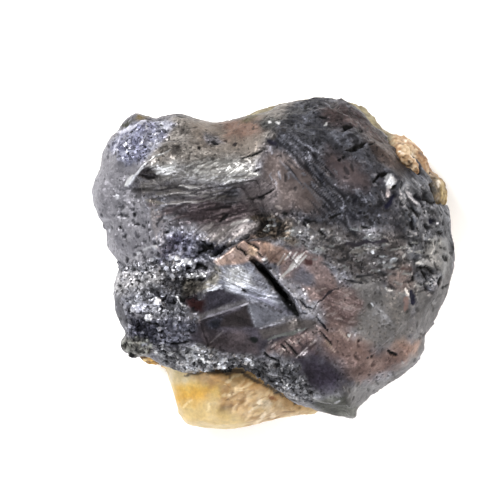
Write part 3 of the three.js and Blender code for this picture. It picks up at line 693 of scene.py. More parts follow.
        Plane(1, Run.FALL), 0.05, "c4c4c8 ececee fefeff", 0.35, 0.28, True),
    ("blue specks", BLUE_SPECKS, Grains(1.1), 0.3, "4c4c5c a4a4b4 ececf6", 0.5, 1.3),
    ("violet shade", ((-22.4, 3.4), (-20.6, 5.8), (-18.4, 5.6), (-18.4, 2.6), (-20.4, 1.8), (-22.4, 0.4)),
        Grains(1), 0.2, "252331 494757 7e7c8c", 0.4, 0.8),
    ("dark notch", ((-15.8, 4.5), (-11.8, 4.5), (-8.6, 3.9), (-10.6, 2.1), (-14, 0.1), (-15.8, 1.5)),
        Grains(1.1), 0.4, "2e2e39 82828c d6d6e0", 0.4, 0.7),
    ("tan corner", ((-18, -3.2), (-13.2, -2.9), (-11.6, -0.4), (-10.6, -1.4), (-11.4, -3.9), (-13.6, -5.9),
        (-17.8, -5.8)), Grains(1.1), 0.1, "48443f 8a857d bcb8b0", 0.3, 0.6),
    ("wine spot", ((-17, -7.1), (-13.4, -6.7), (-13.8, -9.9), (-16.6, -9.9)), Matt(1.4), 0.1,
        "180103 250306 360a0d", 0.15, 0.8),
)

# How thickly small cleavage cubes stand on the granular domains.
CUBE_SHARES = {"granular corner": 1.0, "blue grains": 0.6, "lip": 0.6, "lavender corner": 0.4}

# The open gash's lines, which also carry the painted shade inside it as near-black.
GASH_AND_SHADE = strokes(
    (-7.5, 3.6, -5.1, 1.5, 0.4, 0, "0a0808", 0.1, 0.2),
    (-4.9, 0.8, -2.5, -1.3, 0.45, 0, "020203", 0.15, 0.2),
    (-4.1, 0.3, 0, -3.8, 1.2, 0, "020203", 0.2, 0.35), (-2.4, -1.4, 3.2, -7.4, 1.6, 0, "020203", 0.2, 0.35),
    (0.2, -3.9, 4.9, -10.2, 1.7, 0, "020203", 0.2, 0.35),
)
# The painted shadow along the seam between the galena and the lobe of calcite below it, drawn on both.
SEAM_SHADOW = strokes(
    (-18, -22.3, -13.4, -21.6, 0.7, 0.1, BLACK, 0.3), (-14, -21.5, -9.6, -21.2, 1.2, 0.1, BLACK, 0.4),
    (-10.4, -21.5, -5.6, -21.4, 1.3, 0.1, BLACK, 0.4), (-6.4, -21.4, -2.4, -24, 1, 0.1, BLACK, 0.4),
    (-2.6, -24, 1.4, -26, 0.9, 0.1, BLACK, 0.4), (0.6, -25.8, 4.6, -28, 0.9, 0.1, BLACK, 0.4),
)
# Near-white strokes on the galena are painted highlights and glints, and black ones in cracks and holes
# painted shade.
STROKES = strokes(
    # The cracks of the bridge above the gash and the pits beside it, painted black as shade.
    (-12.7, 1.5, -10.2, 2.6, 0.9, 0.9, BLACK, 0.3), (-10.6, 2.2, -9.2, 3.9, 0.8, 0.9),
    (-9.5, 3.7, -7, 4.5, 0.8, 0.9), (-7.2, 4.4, -4.6, 6.1, 0.6, 0.7),
    (-7.6, 3.7, -5, 1.5, 0.5, 0.35, BLACK, 0.05, 0.2), (-5.6, 4.9, -3, 2.8, 0.55, 0.35, BLACK, 0.05, 0.2),
    (-3.5, 2.4, -2.1, 1.2, 0.45, 0.3, BLACK, 0.05, 0.2), (-15, 1.8, -12.4, 4.2, 1.3, 0.8, BLACK, 0.5),
    (-14.4, 4.4, -11.8, 3, 1, 0.6, BLACK, 0.4), (-15.4, -0.2, -13.2, -0.8, 1.5, 0.7, BLACK, 0.4),
    (-17, -0.7, -16.8, -1.1, 1, 0.6, BLACK, 0.1), (-14.9, -2.9, -13.5, -2.8, 0.8, 0.4, BLACK, 0.1),
    # Blades and edges beside the gash, near-white as painted highlights, with cracks and pits painted dark as
    # shade.
    (1.2, -2.7, 4.2, -0.2, 0.42, -0.02, "d0cecc", 0.06, 0.2),
    (2.8, -1.2, 5.1, 2, 0.42, -0.03, "cec9c5", 0.06, 0.2),
    (3.4, -1, 5.9, 2.2, 0.45, -0.03, "dcd8d4", 0.06, 0.2),
    (4.3, -0.6, 6.5, 1.9, 0.42, -0.03, "d0ccc8", 0.06, 0.2),
    (4.2, 0.6, 5.6, 2.1, 0.45, -0.03, "e0dcd8", 0.06, 0.2),
    (3.4, 0.9, 4.6, 2.5, 0.4, -0.05, "cec8c4", 0.05, 0.2),
    (2.2, 0.7, 3.4, 2.5, 0.4, -0.05, "d4cec8", 0.05, 0.2),
    (0.8, -0.2, 2.2, 2.1, 0.4, -0.04, "a89e98", 0.05, 0.2), (6.2, 1.1, 7.2, -0.4, 1.2, 0.04, "4a3231", 0.5),
    (0.7, -2.9, 4, -4.7, 0.7, -0.03, "b0aeb6"), (3.2, -4.2, 6.8, -6.8, 0.45, 0.02, "9c9aa4", 0.15),
    (3.8, -6.6, 6.4, -9.6, 0.9, -0.03, "86868f", 0.3), (5, -6.8, 6.4, -8.5, 0.5, 0.25, "15151f", 0.15),
    (6.2, -8.5, 7.6, -8.6, 0.45, 0.25, "15151f", 0.15), (5.4, -9.6, 6.8, -9.6, 0.45, 0.2, "1c1c24", 0.3),
    (7.6, -8.6, 12.7, -4.5, 0.4, 0.15, "2a2428", 0.4), (8.3, -10.4, 10.4, -12.8, 0.5, 0.4, "14141c"),
    (10.4, -12.9, 10.8, -13.2, 0.8, 0.3, BLACK, 0.1),
    (9.1, -13.1, 11.6, -16.3, 0.45, 0.35, BLACK, 0.06, 0.3),
    (10, -15, 12.2, -17.5, 0.4, -0.03, "a89488", 0.06, 0.2), (12.9, -13, 14.8, -14.9, 0.4, -0.03, "bcaaa0"),
    (-2.4, 0.9, -1.3, 1, 0.55, -0.04, "dcd8d4", 0.3), (-2, 0.6, -1.7, 0.5, 0.4, 0.15, "2a2220", 0.1),
    # Edges of the basin's facets.
    (-5, -5.8, 3.8, -9.8, 0.6, -0.02, "82808c", 0.3),
    (-4.8, -7.7, -15, -11.2, 0.45, -0.02, "7e7a80", 0.12, 0.3),
    (-6.4, -8.3, -5, -7.7, 0.6, -0.03, "a4a0a4", 0.1),
    (-4.9, -8, -3.6, -12.4, 0.35, -0.02, "6c6c70", 0.08, 0.2),
    (4.6, -10.1, -2.6, -12.7, 0.5, -0.02, "88868a", 0.15, 0.3),
    (-1.2, -14.8, 6.4, -12.9, 0.6, -0.03, "767874"), (-13.7, -5.5, -10.4, -4.1, 0.8, -0.08, "d2d2d6", 0.15),
    (-12.8, -15.8, -10, -13.2, 0.35, -0.02, "645e60", 0.06, 0.2),
    (-2, -6, 0.8, -6.3, 0.45, -0.03, "b4b4bc", 0.3), (-1.8, -7, -0.4, -5.8, 0.4, -0.03, "c4c4ca"),
    (-6.3, -5.1, -5.5, -5.5, 0.5, 0.2, BLACK, 0.1), (-4.6, -14.6, -3.2, -15.2, 1.3, 0.12, "141816", 0.3),
    (-17.2, -2.6, -13.3, -2, 0.7, -0.15, "f4f4f6", 0.08, 0.3),
    (-15.2, -3, -13.4, -2.8, 0.6, 0.3, BLACK, 0.1),
    # The crest, its white line a painted highlight, and the streaks of the silky scoop.
    (-29.6, 15.5, -27.5, 17.7, 1.0, -0.2, "e2e2e4", 0.2, 0.3),
    (-28, 17, -25.2, 20, 0.5, -0.2, "cfcfd4", 0.08, 0.3),
    (-25, 20.4, -20.4, 22.8, 0.45, -0.1, "a09f9e", 0.3),
    (-30.8, 25.9, -25.2, 28.7, 0.6, -0.1, "cfcfdc", 0.3),
    (-31.8, 22.6, -30.6, 25.4, 0.5, -0.1, "c8c8d8", 0.3),
    (-25.4, 12.6, -21, 11.8, 0.6, -0.08, "84807c", 0.1, 0.3),
    (-23, 11.9, -15, 12.5, 0.5, -0.08, "928d8a", 0.1, 0.3),
    (-18.6, 15.6, -14.6, 14.8, 0.4, -0.03, "9a9692", 0.35),
    (-8.6, 7.9, -4.8, 8.7, 0.5, -0.04, "b4b0ae", 0.12, 0.3),
    (-9.4, 3.9, -5.6, 7.2, 0.55, -0.03, "98918f", 0.1, 0.3),
    (-12.8, 4.4, -9.4, 6.8, 0.6, -0.04, "9a9492", 0.08, 0.3), (-11, 8.4, -9, 9.9, 0.9, 0.2, "141012", 0.3),
    (-8.8, 9.5, -7, 9.9, 0.5, 0.15, "1c1618"), (-13.4, 10.6, -8.2, 11.5, 0.5, 0.15, "1c1618", 0.15),
    (-4.5, 12.6, -2, 13.6, 0.5, 0.3, BLACK, 0.1), (-2.2, 13.6, 0.1, 14.8, 0.45, 0.3, BLACK, 0.1),
    (-6.5, 20.9, -4.4, 21.6, 0.45, 0.3, BLACK, 0.1), (-4.9, 21.3, -1.7, 22.8, 0.55, 0.3, BLACK, 0.1),
    (-3.9, 18.3, -2.7, 18.7, 0.6, 0.2, "1c1818", 0.1), (-1.4, 24.7, 0.6, 23.7, 1.2, 0.15, "1e1c2a", 0.3),
    (-26.6, 17.6, -23.4, 16.9, 0.8, 0.2, "120e10", 0.3),
    # Dark flecks of the saddle and of the left corner.
    (-15, 23.3, -14.6, 22.8, 0.8, 0.25, "1a1412", 0.1), (-9.8, 24.6, -9.2, 24.3, 0.5, 0.15, "3a302e"),
    (-8.2, 23.6, -7.4, 24.1, 0.6, 0.15, "363030"), (-12.6, 24.4, -10.8, 23.7, 0.6, 0.2, "18161a"),
    (-29.6, 27.5, -28.8, 27.9, 0.8, 0.2, "18180f"), (-30.2, 27.4, -28.2, 28.9, 1.2, 0.1, "46463c", 0.6),
    (-20.6, 29.8, -17.4, 29.4, 0.5, 0.15, "2c2c28"), (-25.8, 23.5, -25.4, 23.1, 0.6, 0.2, "1c1c28", 0.1),
    (-21.8, 26.6, -21.2, 26.1, 0.6, 0.2, "1c1c28", 0.1), (-27.9, 10, -27.3, 9.6, 0.7, 0.2, "101016", 0.1),
    (-30.8, 7.4, -30.2, 7.2, 0.6, 0.2, "101016", 0.1), (-27.6, 7.8, -26.8, 7.8, 0.6, 0.2, "101016", 0.1),
    (-21.4, 6.4, -20.6, 6.2, 0.7, 0.25, "101016", 0.1),
    # The upper right mass: cracks and holes painted black as shade, and the bright facet's painted shadow.
    (14.1, 22.3, 16.6, 22.8, 0.8, 0.4, BLACK, 0.15), (15.8, 22.6, 18.1, 24, 1.1, 0.5),
    (18.8, 23.6, 20, 24.2, 0.6, 0.3, BLACK, 0.1), (13.7, 27.3, 15.8, 27.4, 0.9, 0.4),
    (13.5, 26.1, 14.4, 27.4, 0.7, 0.3), (16.8, 26.1, 17.7, 26.5, 0.8, 0.3, BLACK, 0.1),
    (9.1, 29.5, 10.4, 28.8, 0.7, 0.3), (12.5, 20.4, 13.3, 20.6, 0.8, 0.3, BLACK, 0.1),
    (13.4, 20.9, 14.1, 21.2, 0.6, 0.3, BLACK, 0.1), (6, 23.2, 7.3, 22.4, 0.6, 0.2, "141016", 0.1),
    (7.4, 22, 8.6, 21, 0.5, 0.2, "141016", 0.1), (5.5, 19.8, 7.6, 17.4, 0.4, 0.15, "201c1e", 0.1),
    (6, 31, 6.7, 31.7, 0.7, 0.2, "1c1c1c"), (10.8, 9, 13.4, 10, 0.6, 0.3),
    (19.5, 16.2, 20.9, 17.6, 0.8, 0.3, BLACK, 0.1), (20.4, 17.3, 22.3, 18.1, 1, 0.4, BLACK, 0.1),
    (20.6, 16.4, 21.8, 16, 1.3, 0.1, "504e56", 0.3), (23.2, 14.9, 24.3, 15.4, 0.8, 0.3),
    (22.2, 14.9, 22.7, 13.2, 0.7, -0.04, "9c969a", 0.4), (22, 11, 23.8, 13.6, 1.1, 0.25, "17172e", 0.3),
    (-1.2, 28.3, -0.5, 28, 0.45, -0.04, "e0e0e0", 0.1), (0.5, 28.1, 1.2, 27.7, 0.5, -0.04, "e0e0e0", 0.1),
    (9.9, 27.4, 10.5, 27.9, 0.45, -0.04, "c8c8c8"), (17, 7.5, 18.9, 7.1, 0.6, 0.3),
    (15.4, 12.3, 16.5, 12.8, 0.7, 0.2, "12121c"), (16.6, 10, 17.4, 10.4, 0.6, 0.2, "12121c"),
    # Holes painted black as shade round a bright grain, right of the speckled knot.
    (6, 8.7, 8.8, 8.1, 0.7, 0.3), (5.8, 8.4, 6.5, 7.2, 0.6, 0.3), (6.8, 7.9, 7, 7.2, 0.5, -0.05, "aeacaa"),
    (8.7, 6.4, 10.5, 5.6, 0.7, 0.3), (1.6, 9.8, 2.6, 10, 0.9, 0.3),
    (-2.4, 7.2, -1.4, 8.6, 1, 0.3, "120c08", 0.3), (0.6, 7.6, 1.4, 7.9, 0.8, 0.3),
    (4.6, 8.2, 5, 8.6, 0.45, -0.05, "9e9c9a"), (0.4, 11.6, 1.6, 10.8, 0.7, -0.08, "a49a96"),
    # The right flank.
    (25.9, 14.6, 29.2, 11.2, 0.6, -0.08, "94949a"), (27.8, 13.6, 30, 12.7, 0.8, 0.4, "0c0c18"),
    (29.6, 12.8, 31.9, 12.1, 0.8, 0.4), (27.3, 11.1, 28.9, 9.2, 0.7, 0.35),
    (26.5, 9.9, 27.7, 8.3, 0.45, 0.3, BLACK, 0.1), (27.2, 8.6, 27.7, 6.9, 0.9, 0.3, "14141a", 0.3),
    (30.8, 8.6, 31.8, 8.5, 1.4, 0.3, "14142a", 0.3), (32.2, 8.2, 32.6, 8, 0.6, -0.05, "d0d0d8", 0.1),
    (32.3, 6.4, 33.5, 6, 0.7, 0.3, BLACK, 0.1), (31.6, 5, 31.9, 3.2, 0.45, -0.05, "a2a2a2", 0.4),
    (31.9, 3.4, 30.8, 1.4, 0.45, -0.05, "9a9a9a", 0.4), (28.2, 0.2, 29.5, 0.4, 0.6, -0.06, "c4c4c4", 0.4),
    (33.6, 1.7, 34.6, 0.5, 1.1, 0.4), (33.1, 3.5, 33.3, 3, 0.5, 0.2, BLACK, 0.1),
    (29.3, 2, 30.1, 2.4, 0.5, 0.2, BLACK, 0.1), (28.3, -0.7, 30.4, -0.4, 0.6, 0.4, BLACK, 0.15),
    (30.2, -0.4, 31.9, -2.2, 0.6, 0.4, BLACK, 0.15), (29.3, -1.3, 30.3, -3.3, 0.7, 0.35),
    (33.2, -2.6, 32.8, -4.4, 0.9, 0.4), (33.4, -5, 35, -4.1, 0.8, 0.3), (27.3, -2.2, 27.6, -3.4, 0.6, 0.3),
    (27.3, -5, 27.7, -7.4, 1, 0.25, "1c1c30", 0.5), (27.8, -6.6, 27.6, -8.2, 0.7, 0.2, "26263a", 0.4),
    (25.6, -5, 26.6, -6.3, 0.6, -0.04, "d8d4d2", 0.3), (26.3, -6.4, 25.9, -9.2, 1.1, 0.02, "8c7670", 0.6),
    (26.4, -3.6, 27, -4.8, 0.5, -0.03, "aca29e", 0.3), (21.9, -4.5, 22.4, -5.2, 0.45, -0.05, "cccccc", 0.1),
    (22.3, -5.2, 23.3, -5.2, 0.4, -0.05, "c0c0c0", 0.1), (19.1, -7.4, 19.8, -8.3, 0.4, -0.04, "b4b4b4"),
    (25.2, -0.6, 27.2, -1.3, 1.1, 0.04, "5a4a48", 0.7),
    # Streaks of the right middle.
    (14, 3.8, 19, 4.4, 1, 0.1, "302c32", 0.3), (18, 4.4, 22.6, 4.6, 0.9, 0.1, "36323a", 0.3),
    (15, 2.4, 20.8, 3, 1.1, -0.05, "787470", 0.4), (19.2, 2.6, 19.6, 2, 0.6, -0.05, "c8c8c8", 0.1),
    (22.8, 0.5, 24.4, 1.1, 0.7, -0.05, "a4a6a8"), (25.2, 1.4, 26, 1.8, 0.6, -0.05, "bebebe"),
    (21.4, 0.3, 21.9, 0.5, 0.6, -0.05, "cacaca", 0.1), (20.2, 1.3, 20.8, 1.7, 0.5, 0.2, BLACK, 0.1),
    (18, 6.2, 20.2, 5.6, 0.4, -0.04, "96969a", 0.1), (16, -2.4, 19.6, -2.2, 0.6, 0.1, "28282a"),
    (14, -3, 17.6, -3.9, 0.7, 0.12, "222226"),
    # The lower face.
    (14.7, -13.8, 15.1, -14.2, 0.8, -0.05, "ecebe8", 0.1),
    (16.5, -15.1, 17, -15.3, 0.5, 0.2, "2a1614", 0.1), (2.1, -15.2, 5, -18.5, 0.55, 0.35, BLACK, 0.06, 0.2),
    (1.3, -15.8, 2.5, -17, 0.45, 0.25, BLACK, 0.06, 0.2), (-1.5, -18.2, 0.8, -19.3, 0.55, 0.3, BLACK, 0.1),
    (-2, -17.6, -0.9, -18.4, 0.7, 0.3), (4.4, -18.6, 6.5, -16.6, 0.4, -0.03, "aaa0a0", 0.08, 0.2),
    (5.8, -18, 6.6, -17.2, 0.45, -0.03, "b4aaaa"), (22.4, -17.1, 24.5, -18.2, 0.75, 0.4, BLACK, 0.1),
    (19.1, -18.2, 19.5, -18.4, 0.6, 0.2, BLACK, 0.1), (18.5, -18.4, 18.8, -18.7, 0.5, 0.2, BLACK, 0.1),
    # The bright and dark grains of the lower left: near-white painted glints, and pits painted black as
    # shade.
    (-21.6, -15.3, -20, -16, 0.6, 0.35), (-20.4, -16, -17, -15.4, 0.6, 0.35),
    (-29.6, -17.9, -27.4, -18.6, 0.9, 0.3, BLACK, 0.3), (-25.2, -11.5, -23.2, -11.9, 0.5, 0.3, BLACK, 0.1),
    (-27.6, -3.2, -26, -3.5, 0.7, 0.3, "141418"), (-25.4, -10, -24.2, -10.9, 1.1, -0.2, "fcfcff", 0.3),
    (-23.4, -7, -22.4, -8.4, 1.2, -0.2, "f4f4fa", 0.5), (-28, -8.6, -25.8, -8.9, 0.9, -0.15, "e4e4f0", 0.4),
    (-19.8, 1.4, -18.6, 0.8, 0.8, -0.15, "f4f4f8", 0.3), (-18, 0.7, -16, 0.1, 0.9, -0.15, "f8f8fc", 0.3),
    (-26, 2.7, -24.6, 3.4, 0.45, -0.05, "c6c6ca", 0.1),
    (-24.8, 3.4, -23.2, 3.5, 0.45, -0.05, "c6c6ca", 0.1), (-19.4, -6, -18.7, -7.7, 0.45, -0.1, "d4d4d8"),
    (-18.7, -7.8, -17.5, -8.3, 0.45, -0.1, "d4d4d8"), (-18.7, -6.2, -17.8, -7.4, 0.6, 0.3),
    (-14.2, -18.2, -13.8, -19.6, 1.1, -0.2, "fcfcfc"), (-15.8, -19.4, -15.6, -20.4, 0.8, 0.3),
)

# Near-white marks are painted glints on the galena's grains, and near-black ones pits painted dark as shade.
MARKS = each(
    Marks,
    (((-31, 13.5), (-22, 9.5), (-17, 3), (-19, 0), (-30, 0.5)), 48, (-40, 40), (0.4, 1), (0.45, 0.8), 0.2,
        "15151f"),
    (LOBE, 30, (-40, 60), (0.4, 0.9), (0.4, 0.7), 0.12, "33333c"),
    (LOBE, 8, (60, 60), (0.5, 1.2), (0.45, 0.7), -0.05, "dcdce2"),
    (BLUE_SPECKS, 20, (-40, 50), (0.5, 1.4), (0.45, 0.8), 0.25, "191924"),
    *((cluster, 22, (20, 80), (0.4, 1.1), (0.45, 0.8), -0.15, "eeeef6") for cluster in CLUSTERS),
    *((glare, 10, (34, 14), (0.8, 2.6), (0.3, 0.55), -0.04, "c8c7c4", 0.07) for glare in GLARES),
    (WHITE_GRAINS, 26, (20, 80), (0.4, 1.1), (0.4, 0.7), -0.12, "d2d2d8"),
    (WHITE_GRAINS, 16, (20, 80), (0.4, 1), (0.4, 0.6), 0.3, "101016"),
    (NODULE, 14, (0, 90), (0.5, 1.2), (0.5, 0.9), 0.35, "10100f"),
    (NODULE, 10, (0, 90), (0.5, 1.2), (0.5, 0.8), -0.1, "b4b5ac"),
    (GRAINY, 34, (-30, 60), (0.5, 1.3), (0.45, 0.8), 0.4, "0a0a0e"),
    (BLUE_GRAINS, 34, (-20, 60), (0.5, 1.6), (0.45, 0.8), 0.3, "0d0d18"),
    (BLUE_GRAINS, 14, (-20, 60), (0.5, 1.2), (0.45, 0.7), -0.1, "b0b0ba"),
    (LIP, 30, (-10, 40), (0.5, 1.4), (0.4, 0.75), -0.12, "d4d4d6"),
    (LIP, 30, (-10, 40), (0.6, 1.8), (0.45, 0.8), 0.3, "121214"),
    (BAND, 24, (14, 12), (1, 3.6), (0.3, 0.5), -0.04, "b4b2ae", 0.07),
    (BAND, 24, (14, 12), (1, 3.2), (0.3, 0.5), 0.1, "55514e", 0.07),
    (DARK_BAND, 22, (2, 8), (1.5, 5), (0.35, 0.6), 0.1, "221f20", 0.1),
    (DARK_BAND, 16, (4, 8), (1.5, 4.5), (0.3, 0.5), -0.05, "7c7773", 0.08),
    (WEDGE, 22, (13, 6), (1.5, 5), (0.3, 0.45), -0.05, "7c7072", 0.07),
    (WEDGE, 18, (13, 6), (1.5, 5), (0.35, 0.55), 0.1, "241b1e", 0.08),
    (SILVER_BLOCK, 9, (38, 5), (1.4, 4), (0.3, 0.45), -0.02, "9e9897", 0.05),
    (SILVER_BLOCK, 7, (38, 5), (1.4, 3.4), (0.3, 0.4), 0.06, "4a4546", 0.05),
    (((-1, 25), (6, 26), (14, 14), (16, 7), (10, 8), (5, 14)), 36, (-47, 5), (2, 7), (0.3, 0.5), 0.12,
        "202026", 0.08),
    (((-1, 25), (6, 26), (14, 14), (16, 7), (10, 8), (5, 14)), 26, (-47, 5), (2, 6), (0.28, 0.4), -0.03,
        "64646b", 0.06),
    (SHOULDER, 60, (-30, 60), (0.6, 2), (0.45, 0.9), 0.15, "17171b"),
    (SHOULDER, 44, (-40, 40), (0.5, 2), (0.3, 0.55), -0.04, "7c7c84", 0.1),
    (MIDDLE, 60, (-6, 25), (0.8, 2.8), (0.4, 0.8), 0.15, "1c1c1e"),
    (MIDDLE, 54, (0, 20), (0.6, 2.6), (0.3, 0.55), -0.04, "8e9090", 0.1),
    (ROUGH_EDGE, 26, (-55, 30), (0.8, 2.4), (0.4, 0.8), 0.3, "0c0c10", 0.15),
    (ROUGH_EDGE, 16, (-55, 30), (0.8, 2.2), (0.3, 0.55), -0.05, "9c9ca0", 0.1),
    (PINK_LOW, 12, (-30, 60), (0.4, 1), (0.4, 0.6), 0.1, "3a2a28"),
    (LAVENDER, 20, (60, 50), (0.4, 1), (0.4, 0.65), 0.15, "444458"),
    (LAVENDER, 12, (50, 40), (0.6, 1.8), (0.3, 0.5), -0.06, "e2e2ec"),
    (BEVEL, 34, (60, 60), (0.5, 1.6), (0.4, 0.8), 0.1, "454343"),
    (BEVEL, 16, (60, 60), (0.5, 1.4), (0.35, 0.55), -0.03, "969494", 0.3),
    (LOW_MIDDLE, 12, (45, 12), (0.8, 2.4), (0.3, 0.45), -0.03, "a89c98", 0.06),
    (LOW_MIDDLE, 8, (45, 12), (0.8, 2), (0.3, 0.45), 0.1, "3a2e2e", 0.06),
    (SWIRL, 14, (10, 24), (1, 3), (0.3, 0.5), -0.05, "a0928e", 0.1),
    (BANK, 16, (-23, 8), (1.5, 4), (0.3, 0.5), -0.02, "b6b6be", 0.06),
    (SADDLE, 22, (20, 40), (0.6, 2), (0.4, 0.7), 0.12, "3a3634"),
)

# The calcite: cream and honey-coloured, with iron stain along the contact and crusts of brown limonite.
HEART = ((-10, -24), (-5, -24.5), (0, -26.5), (-1.4, -29.6), (-6, -31), (-10.4, -28.4))
FOOT = ((-20.5, -27), (-10, -27), (-5, -30), (-3, -34.6), (-18, -34.6))
LOBE_RIGHT = ((-3, -27), (2, -27), (9, -29.4), (3, -32.6), (-5, -34), (-6, -30.6))
CRUST = ((20, 22), (28, 15), (34, 16), (30, 27), (22, 29))
STRIP = ((-31.5, -17), (-21, -17.5), (-22, -23), (-31.5, -21.5))
STAINED = ((-13, -22.4), (-5, -22.6), (-3, -25), (-12, -26.6))
CALCITE_DOMAINS = each(
    Domain,
    ("cream left", ((-22.5, -19), (-12, -20), (-12, -27), (-20, -30), (-23, -26)), Worn(2.2), 0.12,
        "b0986c ccb788 e6dcc0", 0.6, 1),
    ("cream foot", FOOT, Worn(2.4), 0.12, "a88e56 b69d69 c4b07e", 0.65, 1.6),
    ("golden patch", ((-19.6, -24.4), (-14, -22.6), (-10, -23.4), (-10.4, -26), (-14.6, -28),
        (-19.4, -27.6)), Worn(1.6), 0.12, "9b6d18 c69a3c e1c678", 0.6, 1.4),
    ("honey heart", HEART, Chips(1.8, Run.RISE), 0.18, "6c4a21 9d773f ccaa70", 0.6, 1.4),
    ("white right", LOBE_RIGHT, Chips(1.8), 0.18, "84663c b09368 ddcaa9", 0.5, 1.4),
    ("contact stain", ((-17, -21.4), (-10, -20.6), (-4, -21.6), (2, -25), (9, -28), (6.4, -30.2),
        (0, -27.4), (-5, -24.6), (-11, -23.2), (-16, -23.2)), Worn(1.3, Run.DIP), 0.16,
        "5e4220 ae8852 dabd8c", 0.4, 1.2),
    ("left strip", STRIP, Grains(1.2), 0.4, "0c0602 644212 ca9c48", 0.35, 0.8),
    ("brown crust", CRUST, Grains(1.4), 0.36, "4f351e 967450 c8b497", 0.25),
    ("yellow crust", ((29, 16), (36.5, 17), (37, 9), (31, 8)), Grains(1.3), 0.36, "241c10 66532f ac9868",
        0.25),
    ("grey crust", ((30, 18), (32.8, 17.8), (33.2, 12), (30, 11)), Grains(1.1), 0.3, "18140e 3e3424 6a5a42",
        0.3, 0.6),
    ("upper rim", ((-20, 27), (-20, 35), (20, 36), (24, 24)), Chips(1.5), 0.3, "423a2a 746a50 a8a080", 0.3),
)
CALCITE_MARKS = each(
    Marks,
    (STAINED, 9, (36, 18), (1.6, 4.5), (0.6, 1.2), 0.02, "ac8048", 0.25),
    (STAINED, 5, (38, 18), (1.6, 3.5), (0.6, 1), -0.02, "dac294", 0.25),
    (HEART, 7, (50, 14), (2, 5), (0.5, 1), -0.02, "d0b486", 0.2),
    (HEART, 10, (46, 34), (0.8, 2.6), (0.35, 0.55), 0.03, "84602e", 0.2),
    (FOOT, 5, (40, 40), (1, 3), (0.4, 0.7), -0.02, "dcc89a"),
    (LOBE_RIGHT, 8, (30, 30), (1, 3.4), (0.5, 1), -0.02, "dac7a6", 0.25),
    (LOBE_RIGHT, 6, (-20, 40), (0.8, 2), (0.4, 0.6), 0.05, "94703e"),
    (((-1.6, -26), (0.8, -26.6), (0.4, -27.4), (-1.4, -27)), 3, (-20, 20), (0.8, 1.4), (0.6, 0.9), 0.04,
        "8a4a10"),
    (STRIP, 26, (-20, 50), (0.5, 1.6), (0.5, 0.9), 0.2, "120802"),
    (STRIP, 12, (-20, 50), (0.5, 1.3), (0.5, 0.9), -0.1, "f6dca0"),
    (CRUST, 16, (-40, 60), (0.6, 1.6), (0.4, 0.8), 0.25, "4c3018"),
    (CRUST, 10, (-40, 60), (0.6, 1.6), (0.4, 0.8), -0.1, "f2e8da"),
)


# ---- Meshes ----


def put(name: str, data: bpy.types.ID) -> bpy.types.Object:
    """Adds an object with its data to the scene.

    Args:
        name: the object's name.
        data: its mesh, light or camera.

    Returns:
        The new object.
    """
    thing = bpy.data.objects.new(name, data)
    bpy.context.collection.objects.link(thing)
    return thing


def apply_modifiers(piece: bpy.types.Object) -> None:
    """Swaps a piece's mesh for the one that its modifiers make of it, and drops them.

    Args:
        piece: the object that has the modifiers.
    """
    before = piece.data
    view = bpy.context.evaluated_depsgraph_get()
    made = bpy.data.meshes.new_from_object(piece.evaluated_get(view))
    piece.modifiers.clear()
    piece.data = made
    bpy.data.meshes.remove(before)


